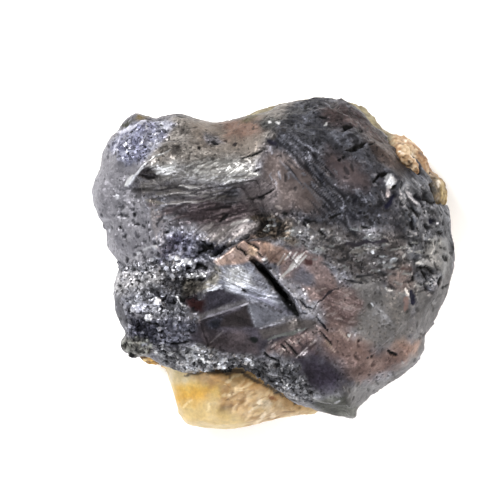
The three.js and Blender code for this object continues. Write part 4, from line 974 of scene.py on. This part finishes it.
@dataclass
class Skin:
    """A fine closed skin over one CAD solid, whose points are moved and coloured in millimetres.

    Attributes:
        node: the CAD node that it replaces.
        name: its own name.
        voxel: width of the even faces that it starts with, in millimetres.
        halving: where its faces are halved: the height in millimetres above which they are, and how much
            they look up at least, from -1 to 1.
        slots: open gashes, round which they are halved again.
        beside: how far beside a gash that is, in millimetres.
        stride: how far one round of averaging takes a value to its neighbours' average, from 0 to 1.
    """

    node: str
    name: str
    voxel: float
    halving: tuple[float, float]
    slots: tuple[Stroke, ...] = ()
    beside: ClassVar[float] = 0.7
    stride: ClassVar[float] = 0.6
    piece: bpy.types.Object = field(init=False)
    points: Array = field(init=False)
    outward: Array = field(init=False)

    def wrap(self) -> None:
        """Copies the CAD solid, gives it an even mesh and lays that back on the solid's faces."""
        solid = bpy.data.meshes.new(self.name)
        work = bmesh.new()
        work.from_mesh(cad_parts[self.node].data)
        bmesh.ops.remove_doubles(work, verts=work.verts, dist=1e-7)
        tree = BVHTree.FromBMesh(work)
        work.to_mesh(solid)
        work.free()
        self.piece = put(self.name, solid)
        remesh = self.piece.modifiers.new("even", "REMESH")
        remesh.mode = "VOXEL"
        remesh.voxel_size = self.voxel * MM
        remesh.adaptivity = 0
        apply_modifiers(self.piece)
        level, upward = self.halving
        self.halve(lambda middle, rise: (middle[:, 2] > level) & (rise > upward))
        if self.slots:
            wide = widened(self.slots, 2 * self.beside)
            self.halve(lambda middle, rise: (middle[:, 2] > level) & (depth_of(wide, middle) > 0.3))
        self.lay_on(tree)
        self.read()

    def halve(self, chosen: Callable[[Array, Array], Array]) -> None:
        """Halves some faces.

        Args:
            chosen: says which, from their middles in millimetres and the rise of their normals.
        """
        work = bmesh.new()
        work.from_mesh(self.piece.data)
        faces = list(work.faces)
        middles = np.array([face.calc_center_median() for face in faces]) / MM
        rises = np.array([face.normal.z for face in faces])
        edges = {edge for number in np.flatnonzero(chosen(middles, rises)) for edge in faces[number].edges}
        bmesh.ops.subdivide_edges(work, edges=list(edges), cuts=1, use_grid_fill=True)
        bmesh.ops.triangulate(work, faces=[face for face in work.faces if len(face.verts) > 4])
        work.to_mesh(self.piece.data)
        work.free()

    def lay_on(self, tree: BVHTree) -> None:
        """Moves every point to the nearest place on the CAD solid.

        Args:
            tree: the solid's faces.
        """
        mesh = self.piece.data
        places = np.empty(len(mesh.vertices) * 3)
        mesh.vertices.foreach_get("co", places)
        moved = [tree.find_nearest(Vector(place))[0] for place in places.reshape(-1, 3)]
        mesh.vertices.foreach_set("co", np.array(moved).ravel())
        mesh.update()

    def read(self) -> None:
        """Reads the points and their normals back from the mesh, in millimetres."""
        mesh = self.piece.data
        count = len(mesh.vertices)
        places, normals = np.empty(count * 3), np.empty(count * 3)
        mesh.vertices.foreach_get("co", places)
        mesh.vertices.foreach_get("normal", normals)
        self.points = places.reshape(-1, 3) / MM
        self.outward = normals.reshape(-1, 3)

    def lift(self, height: Array) -> None:
        """Moves every point out along its normal by its height in millimetres."""
        self.place(self.points + self.outward * height[:, None])

    def paint(self, name: str, values: Array) -> None:
        """Stores something for the material at every point.

        Args:
            name: the attribute's name.
            values: a linear colour, or one value, for each point.
        """
        if values.ndim == 1:
            layer = self.piece.data.attributes.new(name, "FLOAT", "POINT")
            layer.data.foreach_set("value", values.astype(np.float32))
        else:
            layer = self.piece.data.attributes.new(name, "FLOAT_COLOR", "POINT")
            four = np.column_stack((values, np.ones(len(values))))
            layer.data.foreach_set("color", four.astype(np.float32).ravel())

    def smoothed(self, values: Array, rounds: int, weight: Array | float = 1.0) -> Array:
        """Averages values over each point's neighbours.

        Args:
            values: one value, or one row, for each point.
            rounds: how often to average.
            weight: how far each point goes to its neighbours' average, from 0 to 1.

        Returns:
            The averaged values.
        """
        edges = np.empty(len(self.piece.data.edges) * 2, dtype=np.int64)
        self.piece.data.edges.foreach_get("vertices", edges)
        ends = edges.reshape(-1, 2)
        here, there = np.concatenate((ends[:, 0], ends[:, 1])), np.concatenate((ends[:, 1], ends[:, 0]))
        number = len(self.points)
        count = np.maximum(np.bincount(here, minlength=number), 1)
        columns = []
        for column in np.atleast_2d(values.T):
            for _ in range(rounds):
                mean = np.bincount(here, column[there], number) / count
                column = column + self.stride * weight * (mean - column)
            columns.append(column)
        return np.array(columns).T.reshape(values.shape)

    def relax(self, rounds: int, weight: Array) -> None:
        """Rounds the edges of the solid, more so where the weight is greater."""
        self.place(self.smoothed(self.points, rounds, weight))

    def settle(self, rounds: int, weight: Array) -> None:
        """Evens out the height alone, so that steps turn into slopes and the outline stays."""
        height = self.smoothed(self.points[:, 2], rounds, weight)
        self.place(np.column_stack((self.points[:, :2], height)))

    def push(self, nudges: tuple[Nudge, ...]) -> None:
        """Gives the outline its bumps and dents."""
        self.place(self.points + sum(nudge.shift(self.points) for nudge in nudges))

    def place(self, points: Array) -> None:
        """Puts every point at a place in millimetres."""
        self.piece.data.vertices.foreach_set("co", (points * MM).ravel())
        self.piece.data.update()
        self.read()

    def finish(self, material: bpy.types.Material, slot: str) -> None:
        """Dresses the skin and hands it over in place of its CAD node.

        Args:
            material: its finish.
            slot: the slot that the finish stands for; not used.
        """
        self.piece.data.materials.clear()
        self.piece.data.materials.append(material)
        self.piece.data.shade_smooth()
        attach(self.piece, "root")
        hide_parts(self.node)
        LOG.info("%s: %d points, %d faces", self.name, len(self.points), len(self.piece.data.polygons))


# ---- Materials ----


def add(tree: bpy.types.NodeTree, kind: str, settings: dict | None = None, **links: object) -> bpy.types.Node:
    """Adds a node with its settings and inputs.

    Args:
        tree: the node tree.
        kind: the node's type name.
        settings: the node's own properties, and sockets by number or name as "in:NAME".
        **links: inputs by name, with underscores for spaces, each an output to link or a value to set.

    Returns:
        The new node.
    """
    node = tree.nodes.new(kind)
    for key, value in (settings or {}).items():
        setattr(node, key, value)
    for key, value in links.items():
        name = key.replace("_", " ")
        socket = node.inputs[int(name[3:])] if name.startswith("in ") else node.inputs[name]
        if isinstance(value, bpy.types.NodeSocket):
            tree.links.new(value, socket)
        else:
            socket.default_value = value
    return node


def maths(tree: bpy.types.NodeTree, operation: str, *values: object) -> Socket:
    """Adds a Math node on sockets or values, and returns its result."""
    links = {f"in_{n}": value for n, value in enumerate(values)}
    return add(tree, "ShaderNodeMath", {"operation": operation}, **links).outputs[0]


def vectors(tree: bpy.types.NodeTree, operation: str, first: object, second: object) -> bpy.types.Node:
    """Adds a Vector Math node on two vectors or colours."""
    return add(tree, "ShaderNodeVectorMath", {"operation": operation}, in_0=first, in_1=second)


def scaled(tree: bpy.types.NodeTree, vector: Socket, factor: Socket) -> Socket:
    """Adds a node that scales a vector or a colour, and returns its result."""
    return add(tree, "ShaderNodeVectorMath", {"operation": "SCALE"}, Vector=vector, Scale=factor).outputs[0]


def mapped(tree: bpy.types.NodeTree, value: Socket, least: float, most: float,
           given: tuple[float, float] = (0.0, 1.0)) -> Socket:
    """Adds a node that stretches a value, and returns its result.

    Args:
        tree: the node tree.
        value: the value to stretch.
        least: what the first of the given values becomes.
        most: what the second one becomes.
        given: the two values; it stays between them.

    Returns:
        The stretched value.
    """
    return add(tree, "ShaderNodeMapRange", {}, Value=value, From_Min=given[0], From_Max=given[1],
               To_Min=least, To_Max=most).outputs[0]


def stored(tree: bpy.types.NodeTree, name: str, output: str = "Fac") -> Socket:
    """Adds a node that reads what the skin stores under a name."""
    return add(tree, "ShaderNodeAttribute", {"attribute_name": name}).outputs[output]


def noise(tree: bpy.types.NodeTree, place: Socket, size_mm: float, detail: float) -> Socket:
    """Adds a noise texture with lumps of a size in millimetres, and returns its value."""
    scale = 1 / (size_mm * MM)
    return add(tree, "ShaderNodeTexNoise", {}, Vector=place, Scale=scale, Detail=detail).outputs[0]


def blank_material(name: str) -> tuple[bpy.types.Material, bpy.types.NodeTree, Socket]:
    """Starts a material.

    Args:
        name: its name.

    Returns:
        The material, its empty node tree, and the place on the object there.
    """
    material = bpy.data.materials.new(name)
    material.use_nodes = True
    material.node_tree.nodes.clear()
    return material, material.node_tree, add(material.node_tree, "ShaderNodeTexCoord").outputs["Object"]


def surfaced(tree: bpy.types.NodeTree, **inputs: object) -> None:
    """Ends a material with a Principled shader that has the given inputs."""
    shader = add(tree, "ShaderNodeBsdfPrincipled", {}, **inputs)
    add(tree, "ShaderNodeOutputMaterial", {}, Surface=shader.outputs[0])


@dataclass(frozen=True)
class CleavedGalena:
    """Galena, lead sulphide, broken along its cubic cleavage and tarnished in air.

    Fresh faces are mirror-like but broken into crystals of a fraction of a millimetre, so that they sparkle;
    tarnish dulls them and turns them brown, violet or black.
    """

    name: str = "galena_cleaved_tarnished"
    metallic: float = 0.8
    roughness_dull: float = 0.62
    roughness_bright: float = 0.28
    roughness_spread: float = 0.12
    grain_mm: float = 0.45
    speck_mm: float = 0.2
    fibre_mm: tuple[float, float] = (3.2, 0.26)
    fibre_height_mm: float = 0.12
    fibre_contrast: float = 1.2
    grit_contrast: float = 0.7
    pit_contrast: float = 0.85
    pit_luck: tuple[float, float] = (0.88, 0.94)
    spark_contrast: float = 0.6
    spark_luck: tuple[float, float] = (0.1, 0.04)

    def fibres(self, tree: bpy.types.NodeTree, place: Socket) -> Socket:
        """Fine lines along every run, each as strong as the skin says there.

        Args:
            tree: the material's node tree.
            place: the place on the specimen.

        Returns:
            A value round 0.
        """
        long, wide = (size * MM for size in self.fibre_mm)
        total: Socket | float = 0.0
        for run in Run:
            line = add(tree, "ShaderNodeMapping", {"vector_type": "TEXTURE"}, Vector=place,
                       Rotation=(0, 0, math.radians(run.value)), Scale=(long, wide, wide * 3))
            silk = add(tree, "ShaderNodeTexNoise", {}, Vector=line.outputs[0], Scale=1.0, Detail=2.0,
                       Distortion=0.25)
            even = maths(tree, "SUBTRACT", silk.outputs[0], 0.5)
            total = maths(tree, "MULTIPLY_ADD", even, stored(tree, f"fibre_{run.name}"), total)
        return total

    def build(self) -> bpy.types.Material:
        """Builds the material from what the skin stores.

        Returns:
            The finished material.
        """
        material, tree, place = blank_material(self.name)
        grit = stored(tree, "grit")
        grains = add(tree, "ShaderNodeTexVoronoi", {}, Vector=place, Scale=1 / (self.grain_mm * MM)).outputs
        luck = add(tree, "ShaderNodeSeparateColor", {}, Color=grains["Color"]).outputs
        fibre = self.fibres(tree, place)

        # Fibres, grains and specks make the tone a little lighter or darker; a few grains are pits or sparks.
        mixed = maths(tree, "ADD", luck[0], noise(tree, place, self.speck_mm, 2.0))
        strong = maths(tree, "MULTIPLY", grit, self.grit_contrast)
        by_grit = maths(tree, "MULTIPLY_ADD", maths(tree, "SUBTRACT", mixed, 1.0), strong, 1.0)
        shade = maths(tree, "MULTIPLY", maths(tree, "MULTIPLY_ADD", fibre, self.fibre_contrast, 1.0), by_grit)
        for chance, gain in ((self.pit_luck, -self.pit_contrast), (self.spark_luck, self.spark_contrast)):
            chosen = mapped(tree, luck[2], 0.0, gain, chance)
            shade = maths(tree, "MULTIPLY", shade, maths(tree, "MULTIPLY_ADD", chosen, grit, 1.0))

        # Bright faces are smooth and dull ones rough, and each grain differs.
        worn = mapped(tree, stored(tree, "gloss"), self.roughness_dull, self.roughness_bright)
        rough = maths(tree, "MULTIPLY_ADD", luck[1], self.roughness_spread, worn)

        # Every grain is a flat face with a tilt of its own, and the fibres are fine ridges.
        away = vectors(tree, "SUBTRACT", place, grains["Position"]).outputs[0]
        lean = vectors(tree, "SUBTRACT", grains["Color"], (0.5, 0.5, 0.5)).outputs[0]
        tilt = vectors(tree, "DOT_PRODUCT", away, lean).outputs["Value"]
        height = maths(tree, "MULTIPLY_ADD", fibre, self.fibre_height_mm * MM,
                       maths(tree, "MULTIPLY", tilt, grit))
        bump = add(tree, "ShaderNodeBump", {}, Strength=0.7, Distance=1.0, Height=height)
        surfaced(tree, Base_Color=scaled(tree, stored(tree, "tone", "Color"), shade), Metallic=self.metallic,
                 Roughness=rough, Normal=bump.outputs[0])
        return material


@dataclass(frozen=True)
class BrokenCalcite:
    """Calcite, broken along its cleavage, stained by iron and crusted in places.

    Light goes a little way into it, so that it looks waxy, and flat faces catch a soft shine.
    """

    name: str = "calcite_broken_stained"
    ior: float = 1.6
    roughness_dull: float = 0.78
    roughness_bright: float = 0.34
    depth_mm: float = 1.2
    cloud_mm: float = 0.7
    cloud_shade: tuple[float, float] = (0.84, 1.12)
    speck_mm: float = 0.25
    relief_mm: float = 0.12

    def build(self) -> bpy.types.Material:
        """Builds the material from the skin's tone and gloss.

        Returns:
            The finished material.
        """
        material, tree, place = blank_material(self.name)
        clouds = noise(tree, place, self.cloud_mm, 4.0)
        height = maths(tree, "ADD", clouds, noise(tree, place, self.speck_mm, 2.0))
        bump = add(tree, "ShaderNodeBump", {}, Strength=0.4, Distance=self.relief_mm * MM, Height=height)
        shade = mapped(tree, clouds, *self.cloud_shade, given=(0.3, 0.7))
        rough = mapped(tree, stored(tree, "gloss"), self.roughness_dull, self.roughness_bright)
        surfaced(tree, Base_Color=scaled(tree, stored(tree, "tone", "Color"), shade), IOR=self.ior,
                 Roughness=rough, Subsurface_Weight=0.2, Subsurface_Radius=(1.0, 0.8, 0.5),
                 Subsurface_Scale=self.depth_mm * MM, Normal=bump.outputs[0])
        return material


# ---- The specimen ----


@dataclass
class Cover:
    """The relief, colour and finish of a skin, while its domains and strokes are laid over it.

    Attributes:
        points: the skin's points in millimetres.
        height: relief in millimetres.
        tone: linear colour.
        gloss: how bright its faces shine, from 0 to 1.
        grit: how strongly fine grains show, from 0 to 1.
        fibres: how strongly fine lines along each run show, from 0 to 1.
    """

    points: Array
    height: Array
    tone: Array
    gloss: Array
    grit: Array
    fibres: dict[Run, Array]

    @classmethod
    def ground(cls, points: Array, fabric: Fabric, rise: float, tones: str, gloss: float) -> "Cover":
        """A cover that is broken in one way all over.

        Args:
            points: the skin's points in millimetres.
            fabric: how it is broken.
            rise: height of its relief in millimetres.
            tones: its colours.
            gloss: how bright its faces shine, from 0 to 1.

        Returns:
            The cover, ready for its domains.
        """
        relief, value = fabric.at(points)
        fibres = {run: np.zeros(len(points)) for run in Run}
        even = np.ones(len(points))
        return cls(points, relief * rise, shade(tones, value), gloss * even, fabric.grit * even, fibres)

    def lay(self, domain: Domain, mask: Array) -> None:
        """Lays a domain over what is there.

        Args:
            domain: the stretch.
            mask: how far it covers each point, from 0 to 1.
        """
        here = mask > 0.01
        share = mask[here]
        relief, value = domain.fabric.at(self.points[here])
        self.height[here] += share * (relief * domain.rise - self.height[here])
        self.tone[here] += share[:, None] * (shade(domain.tones, value) - self.tone[here])
        self.gloss[here] += share * (domain.gloss * (0.6 + 0.8 * np.clip(value, 0, 1)) - self.gloss[here])
        self.grit[here] += share * (domain.fabric.grit - self.grit[here])
        for run, strength in self.fibres.items():
            aim = domain.fabric.fibre if run is domain.fabric.run else 0.0
            strength[here] += share * (aim - strength[here])

    def draw(self, several: Iterable[Stroke], strength: Array) -> None:
        """Draws strokes; one that stands proud is rubbed bright, and a hollow one is dull.

        Args:
            several: the strokes, in the order in which they are drawn.
            strength: how strongly each point takes them, from 0 to 1.
        """
        for stroke in several:
            here = stroke.near(self.points)
            share = stroke.mask(self.points[here]) * strength[here]
            self.height[here] -= share * stroke.depth
            self.tone[here] += share[:, None] * (np.array(linear(stroke.tone)) - self.tone[here])
            self.gloss[here] += share * ((0.85 if stroke.depth < 0 else 0.1) - self.gloss[here])
            self.grit[here] *= 1 - 0.8 * share

    def strew(self, kinds: tuple[Marks, ...], strength: Array) -> None:
        """Draws all strokes of several kinds of marks, as strongly as said at each point."""
        for seed, kind in enumerate(kinds):
            self.draw(kind.strokes(seed), strength)

    def put_on(self, skin: Skin, hollow: float, proud: float) -> None:
        """Raises the skin by the relief and stores the colour and the finish on it.

        Args:
            skin: the skin that has these points.
            hollow: share of its tone that a deep hollow loses, as painted shade.
            proud: share that a proud edge gains, as painted highlight.
        """
        skin.lift(self.height)
        level = skin.smoothed(skin.points, 8)
        stand = ((skin.points - level) * skin.outward).sum(axis=1)
        # Hollows are darkened as painted shade and proud edges lightened as painted highlight.
        skin.paint("tone", np.clip(self.tone * (1 + np.clip(stand * 1.6, -hollow, proud))[:, None], 0.002, 1))
        skin.paint("gloss", np.clip(self.gloss, 0, 1))
        skin.paint("grit", np.clip(self.grit, 0, 1))


@dataclass
class GalenaMass:
    """The galena: the relief of its cleavage domains, its cracks, and its tarnish.

    Attributes:
        voxel: width of the skin's widest faces, which are below, in millimetres.
        face_level: height in millimetres above which the broken face's domains apply in full.
        halving: where the skin is finer, as in Skin.
        flank: how its flanks and its underside are broken.
        flank_rise: relief of the flanks in millimetres.
        flank_gloss: how bright they shine, from 0 to 1.
        rounding: how many rounds of averaging round the edges of the solid.
        settling: how many rounds of averaging turn its steps into slopes.
        looking_up: rise of the normals from which the face's domains start, and at which they are full.
        drawn_up: the same for its strokes and marks, so that none runs down a flank.
        gash_up: the same for the painted shade in the gash, which goes down its own walls.
        gash_levels: heights in millimetres between which the gash's painted shade fades in.
        seam_levels: the same for the painted shadow along the seam.
        worn_levels: the same for the wearing down of the steps.
        rim_wear: how far inside the rim that wear is full, in millimetres.
        beside_gash: how far beside the gash its walls stay sharp, in millimetres.
        tarnish: share of its light that the tarnish gives back.
        shading: share of its tone that a hollow loses as painted shade, and that a proud edge gains as
            painted highlight.
        mark_strength: how strongly the strewn marks show, from 0 to 1.
        cube_margin: how far inside the worn rim cubes start in millimetres; outside it where negative.
    """

    voxel: float = 0.65
    face_level: float = 9.0
    halving: tuple[float, float] = (9, 0.2)
    flank: Fabric = Chips(2.4)
    flank_rise: float = 0.4
    flank_gloss: float = 0.45
    rounding: int = 16
    settling: int = 220
    looking_up: tuple[float, float] = (-0.1, 0.25)
    drawn_up: tuple[float, float] = (-0.05, 0.3)
    gash_up: tuple[float, float] = (-0.9, -0.6)
    gash_levels: tuple[float, float] = (2, 5)
    seam_levels: tuple[float, float] = (1, 3)
    worn_levels: tuple[float, float] = (12, 15)
    rim_wear: float = 2.5
    beside_gash: float = 1.5
    tarnish: float = 0.72
    shading: tuple[float, float] = (0.45, 0.3)
    mark_strength: float = 0.7
    cube_margin: float = -0.8
    skin: Skin = field(init=False)
    material: bpy.types.Material = field(init=False)

    def build(self) -> Skin:
        """Builds the dressed skin.

        Returns:
            The skin, for what grows on it.
        """
        self.skin = Skin("galena", "galena_skin", self.voxel, self.halving, GASH_AND_SHADE)
        self.skin.wrap()
        self.wear()
        points, rise = self.skin.points, self.skin.outward[:, 2]
        near, _, masks = self.masks()
        cover = Cover.ground(points, self.flank, self.flank_rise, LEAD, self.flank_gloss)
        for domain in DOMAINS:
            cover.lay(domain, masks[domain.name])
        drawn = near * ease(*self.drawn_up, rise)
        cover.strew(MARKS, self.mark_strength * drawn)
        cover.draw(STROKES, drawn)
        # Painted shadow along the seam under the galena's lip.
        cover.draw(SEAM_SHADOW, ease(*self.seam_levels, points[:, 2]))
        # Painted shade inside the gash, down its walls.
        cover.draw(GASH_AND_SHADE, ease(*self.gash_up, rise) * ease(*self.gash_levels, points[:, 2]))
        cover.tone *= self.tarnish
        cover.put_on(self.skin, *self.shading)
        for run, strength in cover.fibres.items():
            self.skin.paint(f"fibre_{run.name}", strength)
        cubes = self.blend(masks, 0.0, {name: CUBE_SHARES.get(name, 0.0) for name in masks})
        inside = ease(self.cube_margin, self.cube_margin + 1, depth_in(FACE_RIM, points))
        self.skin.paint("cubes", np.clip(cubes * inside * (1 - self.gash()), 0, 1))
        self.material = CleavedGalena().build()
        self.skin.finish(self.material, "galena")
        return self.skin

    def gash(self) -> Array:
        """How near each point is to the open gash, from 0 far off to 1."""
        return depth_of(widened(GASH_AND_SHADE, 2 * self.beside_gash), self.skin.points)

    def masks(self) -> tuple[Array, Array, dict[str, Array]]:
        """Measures what belongs to the broken face.

        Returns:
            How near each point is to the face's height, from 0 to 1, how much it belongs to the face, and how
            much to each of its domains.
        """
        points = self.skin.points
        near = ease(self.face_level - 6, self.face_level, points[:, 2])
        top = near * ease(*self.looking_up, self.skin.outward[:, 2])
        return near, top, {domain.name: domain.mask(points) * top for domain in DOMAINS}

    def blend(self, masks: dict[str, Array], ground: float, values: dict[str, float]) -> Array:
        """Lays one value for each domain over a ground.

        Args:
            masks: how much of each point belongs to each domain.
            ground: the value where there is none.
            values: the value in each domain.

        Returns:
            The blended value for each point.
        """
        total = np.full(len(self.skin.points), ground)
        for name, mask in masks.items():
            total += mask * (values[name] - total)
        return total

    def wear(self) -> None:
        """Rounds the solid's edges, turns its steps into slopes and gives it its bumps and dents."""
        points = self.skin.points
        _, top, masks = self.masks()
        keen = np.max([masks[domain.name] for domain in DOMAINS if domain.crisp], axis=0)
        kept = (1 - keen) * (1 - self.gash())
        melt = self.blend(masks, self.flank.melt, {domain.name: domain.fabric.melt for domain in DOMAINS})
        inland = ease(0, self.rim_wear, depth_in(FACE_RIM, points)) * ease(*self.worn_levels, points[:, 2])
        self.skin.relax(self.rounding, (0.2 + 0.8 * top) * kept)
        self.skin.settle(self.settling, inland * melt * kept)
        self.skin.push(GALENA_NUDGES + GASH_NUDGES)


@dataclass
class CleavageCubes:
    """Small cleavage cubes that stand on the granular parts, scattered by Geometry Nodes.

    Attributes:
        per_square_mm: how many stand on a square millimetre where they are thickest.
        smallest: side of the smallest in millimetres.
        largest: side of the largest in millimetres.
        lean: how far one may turn about its own x, y and z, in radians.
        slimmest: least share of its side that each of its edges has.
        broadest: greatest share.
        seed: the scatter's seed.
    """

    per_square_mm: float = 1.1
    smallest: float = 0.3
    largest: float = 0.95
    lean: tuple[float, float, float] = (0.7, 0.7, 3.1)
    slimmest: tuple[float, float, float] = (0.6, 0.6, 0.4)
    broadest: tuple[float, float, float] = (1.3, 1.1, 0.9)
    seed: int = 5

    def tree(self, material: bpy.types.Material) -> bpy.types.NodeTree:
        """Builds the scatter.

        Args:
            material: the cubes' finish.

        Returns:
            A tree with the inputs Density, Smallest, Largest and Seed.
        """
        tree = bpy.data.node_groups.new("cleavage_cubes", "GeometryNodeTree")
        face = tree.interface
        face.new_socket("Geometry", in_out="INPUT", socket_type="NodeSocketGeometry")
        for name in ("Density", "Smallest", "Largest"):
            face.new_socket(name, in_out="INPUT", socket_type="NodeSocketFloat")
        face.new_socket("Seed", in_out="INPUT", socket_type="NodeSocketInt")
        face.new_socket("Geometry", in_out="OUTPUT", socket_type="NodeSocketGeometry")
        given = add(tree, "NodeGroupInput").outputs
        seed = {"Seed": given["Seed"]}
        share = add(tree, "GeometryNodeInputNamedAttribute", {"data_type": "FLOAT"}, Name="cubes").outputs[0]
        spots = add(tree, "GeometryNodeDistributePointsOnFaces", {}, Mesh=given["Geometry"],
                    Density=maths(tree, "MULTIPLY", share, given["Density"]), **seed).outputs
        lean = add(tree, "FunctionNodeRandomValue", {"data_type": "FLOAT_VECTOR"},
                   in_0=tuple(-turn for turn in self.lean), in_1=self.lean, **seed)
        turn = add(tree, "FunctionNodeRotateRotation", {"rotation_space": "LOCAL"},
                   Rotation=spots["Rotation"], Rotate_By=lean.outputs[0])
        span = add(tree, "FunctionNodeRandomValue", {"data_type": "FLOAT"}, in_2=given["Smallest"],
                   in_3=given["Largest"], **seed)
        shape = add(tree, "FunctionNodeRandomValue", {"data_type": "FLOAT_VECTOR"}, in_0=self.slimmest,
                    in_1=self.broadest, **seed)
        cube = add(tree, "GeometryNodeMeshCube", {}, Size=(1, 1, 1))
        placed = add(tree, "GeometryNodeInstanceOnPoints", {}, Points=spots["Points"],
                     Instance=cube.outputs[0], Rotation=turn.outputs[0],
                     Scale=scaled(tree, shape.outputs[0], span.outputs[1]))
        real = add(tree, "GeometryNodeRealizeInstances", {}, Geometry=placed.outputs[0])
        dressed = add(tree, "GeometryNodeSetMaterial", {}, Geometry=real.outputs[0], Material=material)
        add(tree, "NodeGroupOutput", {}, Geometry=dressed.outputs[0])
        return tree

    def build(self, ground: Skin, material: bpy.types.Material) -> bpy.types.Object:
        """Scatters the cubes over the galena.

        Args:
            ground: the galena's skin, with its "cubes" share. Each cube takes its tone from it.
            material: the cubes' finish.

        Returns:
            One mesh of all cubes.
        """
        carrier = put("galena_cubes", ground.piece.data.copy())
        scatter = carrier.modifiers.new("scatter", "NODES")
        scatter.node_group = self.tree(material)
        sockets = {item.name: item.identifier for item in scatter.node_group.interface.items_tree}
        scatter[sockets["Density"]] = self.per_square_mm / MM**2
        scatter[sockets["Smallest"]] = self.smallest * MM
        scatter[sockets["Largest"]] = self.largest * MM
        scatter[sockets["Seed"]] = self.seed
        apply_modifiers(carrier)
        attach(carrier, "root")
        LOG.info("galena_cubes: %d faces", len(carrier.data.polygons))
        return carrier


@dataclass
class CalciteMatrix:
    """The calcite that the galena grew on, with its cleavage faces, iron stain and crusts.

    Attributes:
        voxel: width of the skin's faces in millimetres; half of it where the skin looks up.
        ground: how it is broken where no domain says otherwise.
        rise: relief of that ground in millimetres.
        tones: colours of that ground.
        gloss: how bright that ground shines, from 0 to 1.
        halving: where the skin is finer, as in Skin.
        rounding: how many rounds of averaging round the edges of the solid.
        edge_wear: how strongly they do.
        lying_levels: heights in millimetres between which the relief fades in over the flat patch below.
        seen_levels: the same for the domains, marks and the seam's painted shadow.
        mark_strength: how strongly the strewn marks show, from 0 to 1.
        seam_strength: how strongly the painted shadow along the seam shows, from 0 to 1.
        shading: share of its tone that a hollow loses as painted shade, and that a proud edge gains as
            painted highlight.
    """

    voxel: float = 0.7
    ground: Fabric = Chips(3.2)
    rise: float = 0.45
    tones: str = "5e4a2c a88c5e d8c69c"
    gloss: float = 0.35
    halving: tuple[float, float] = (5, 0.1)
    rounding: int = 20
    edge_wear: float = 0.6
    lying_levels: tuple[float, float] = (0.1, 1.5)
    seen_levels: tuple[float, float] = (0.8, 2.5)
    mark_strength: float = 0.6
    seam_strength: float = 0.8
    shading: tuple[float, float] = (0.3, 0.1)
    skin: Skin = field(init=False)

    def build(self) -> Skin:
        """Builds the dressed skin.

        Returns:
            The skin.
        """
        self.skin = Skin("calcite_matrix", "calcite_skin", self.voxel, self.halving)
        self.skin.wrap()
        points = self.skin.points
        lying = ease(*self.lying_levels, points[:, 2])
        self.skin.relax(self.rounding, self.edge_wear * lying)
        self.skin.push(CALCITE_NUDGES)
        cover = Cover.ground(points, self.ground, self.rise, self.tones, self.gloss)
        seen = ease(*self.seen_levels, points[:, 2])
        for domain in CALCITE_DOMAINS:
            cover.lay(domain, domain.mask(points) * seen)
        cover.strew(CALCITE_MARKS, self.mark_strength * seen)
        # The painted shadow along the seam falls on the calcite too.
        cover.draw(SEAM_SHADOW, self.seam_strength * seen)
        cover.height *= lying
        cover.put_on(self.skin, *self.shading)
        self.skin.finish(BrokenCalcite().build(), "calcite")
        return self.skin


# ---- The studio ----


@dataclass(frozen=True)
class Lamp:
    """A soft square light: where it is and what it aims at in metres, its side, its watts and its tint."""

    name: str
    at: tuple[float, float, float]
    side: float
    watts: float
    tint: str = "ffffff"
    aim: ClassVar[Vector] = Vector((0, 0, 0.02))

    def build(self) -> None:
        """Hangs the light, aimed at the specimen's middle."""
        data = bpy.data.lights.new(self.name, "AREA")
        data.shape = "SQUARE"
        data.size = self.side
        data.energy = self.watts
        data.color = linear(self.tint)
        lamp = put(self.name, data)
        lamp.location = self.at
        lamp.rotation_euler = (self.aim - lamp.location).to_track_quat("-Z", "Y").to_euler()


@dataclass
class Studio:
    """A plain pale floor, soft lights and a camera that looks straight down through a long lens.

    Attributes:
        view_width: width in metres that the camera sees at the level of the specimen's widest outline.
        aim: place in metres that the camera looks at.
        lens: focal length in millimetres.
        sensor: width of the sensor in millimetres.
        floor: half the floor's side in metres.
        world: strength of the even grey light all round.
        paper_glow: light that comes through the paper floor, which keeps it white.
    """

    view_width: float = 0.100
    aim: tuple[float, float, float] = (-0.0047, 0.0028, 0.015)
    lens: float = 400.0
    sensor: float = 36.0
    floor: float = 1.2
    world: float = 0.36
    paper_glow: float = 0.16
    lamps: tuple[Lamp, ...] = (
        Lamp("key", (-0.45, 0.42, 0.62), 0.34, 9.0),
        Lamp("side", (0.62, 0.1, 0.42), 0.3, 3.4, "fff6ec"),
        Lamp("low", (-0.1, -0.6, 0.4), 0.36, 3.4, "f2f6ff"),
    )

    def build(self) -> None:
        """Sets up the floor, the lights, the surroundings and the camera."""
        sheet = bpy.data.meshes.new("floor")
        half = self.floor
        corners = [(-half, -half, 0), (half, -half, 0), (half, half, 0), (-half, half, 0)]
        sheet.from_pydata(corners, [], [(0, 1, 2, 3)])
        material, tree, _ = blank_material("paper_white_matt")
        surfaced(tree, Base_Color=(1, 1, 1, 1), Roughness=0.9, Emission_Color=(1, 1, 1, 1),
                 Emission_Strength=self.paper_glow)
        sheet.materials.append(material)
        floor = put("floor", sheet)
        for lamp in self.lamps:
            lamp.build()
        world = bpy.data.worlds.new("surroundings")
        world.use_nodes = True
        sky = world.node_tree.nodes["Background"].inputs
        sky["Color"].default_value = (1, 1, 1, 1)
        sky["Strength"].default_value = self.world
        bpy.context.scene.world = world
        data = bpy.data.cameras.new("camera")
        data.lens = self.lens
        data.sensor_width = self.sensor
        camera = put("camera", data)
        camera.location = Vector(self.aim) + Vector((0, 0, self.view_width * self.lens / self.sensor))
        camera.rotation_euler = (0, 0, 0)
        bpy.context.scene.camera = camera
        bpy.context.scene.view_settings.view_transform = "Standard"


def main() -> None:
    """Builds the specimen and its studio; the dressed pieces log their points and faces."""
    logging.basicConfig(level=logging.INFO, format="%(message)s")
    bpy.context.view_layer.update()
    Studio().build()
    galena = GalenaMass()
    skin = galena.build()
    CleavageCubes().build(skin, galena.material)
    CalciteMatrix().build()


if __name__ == "__main__":
    main()
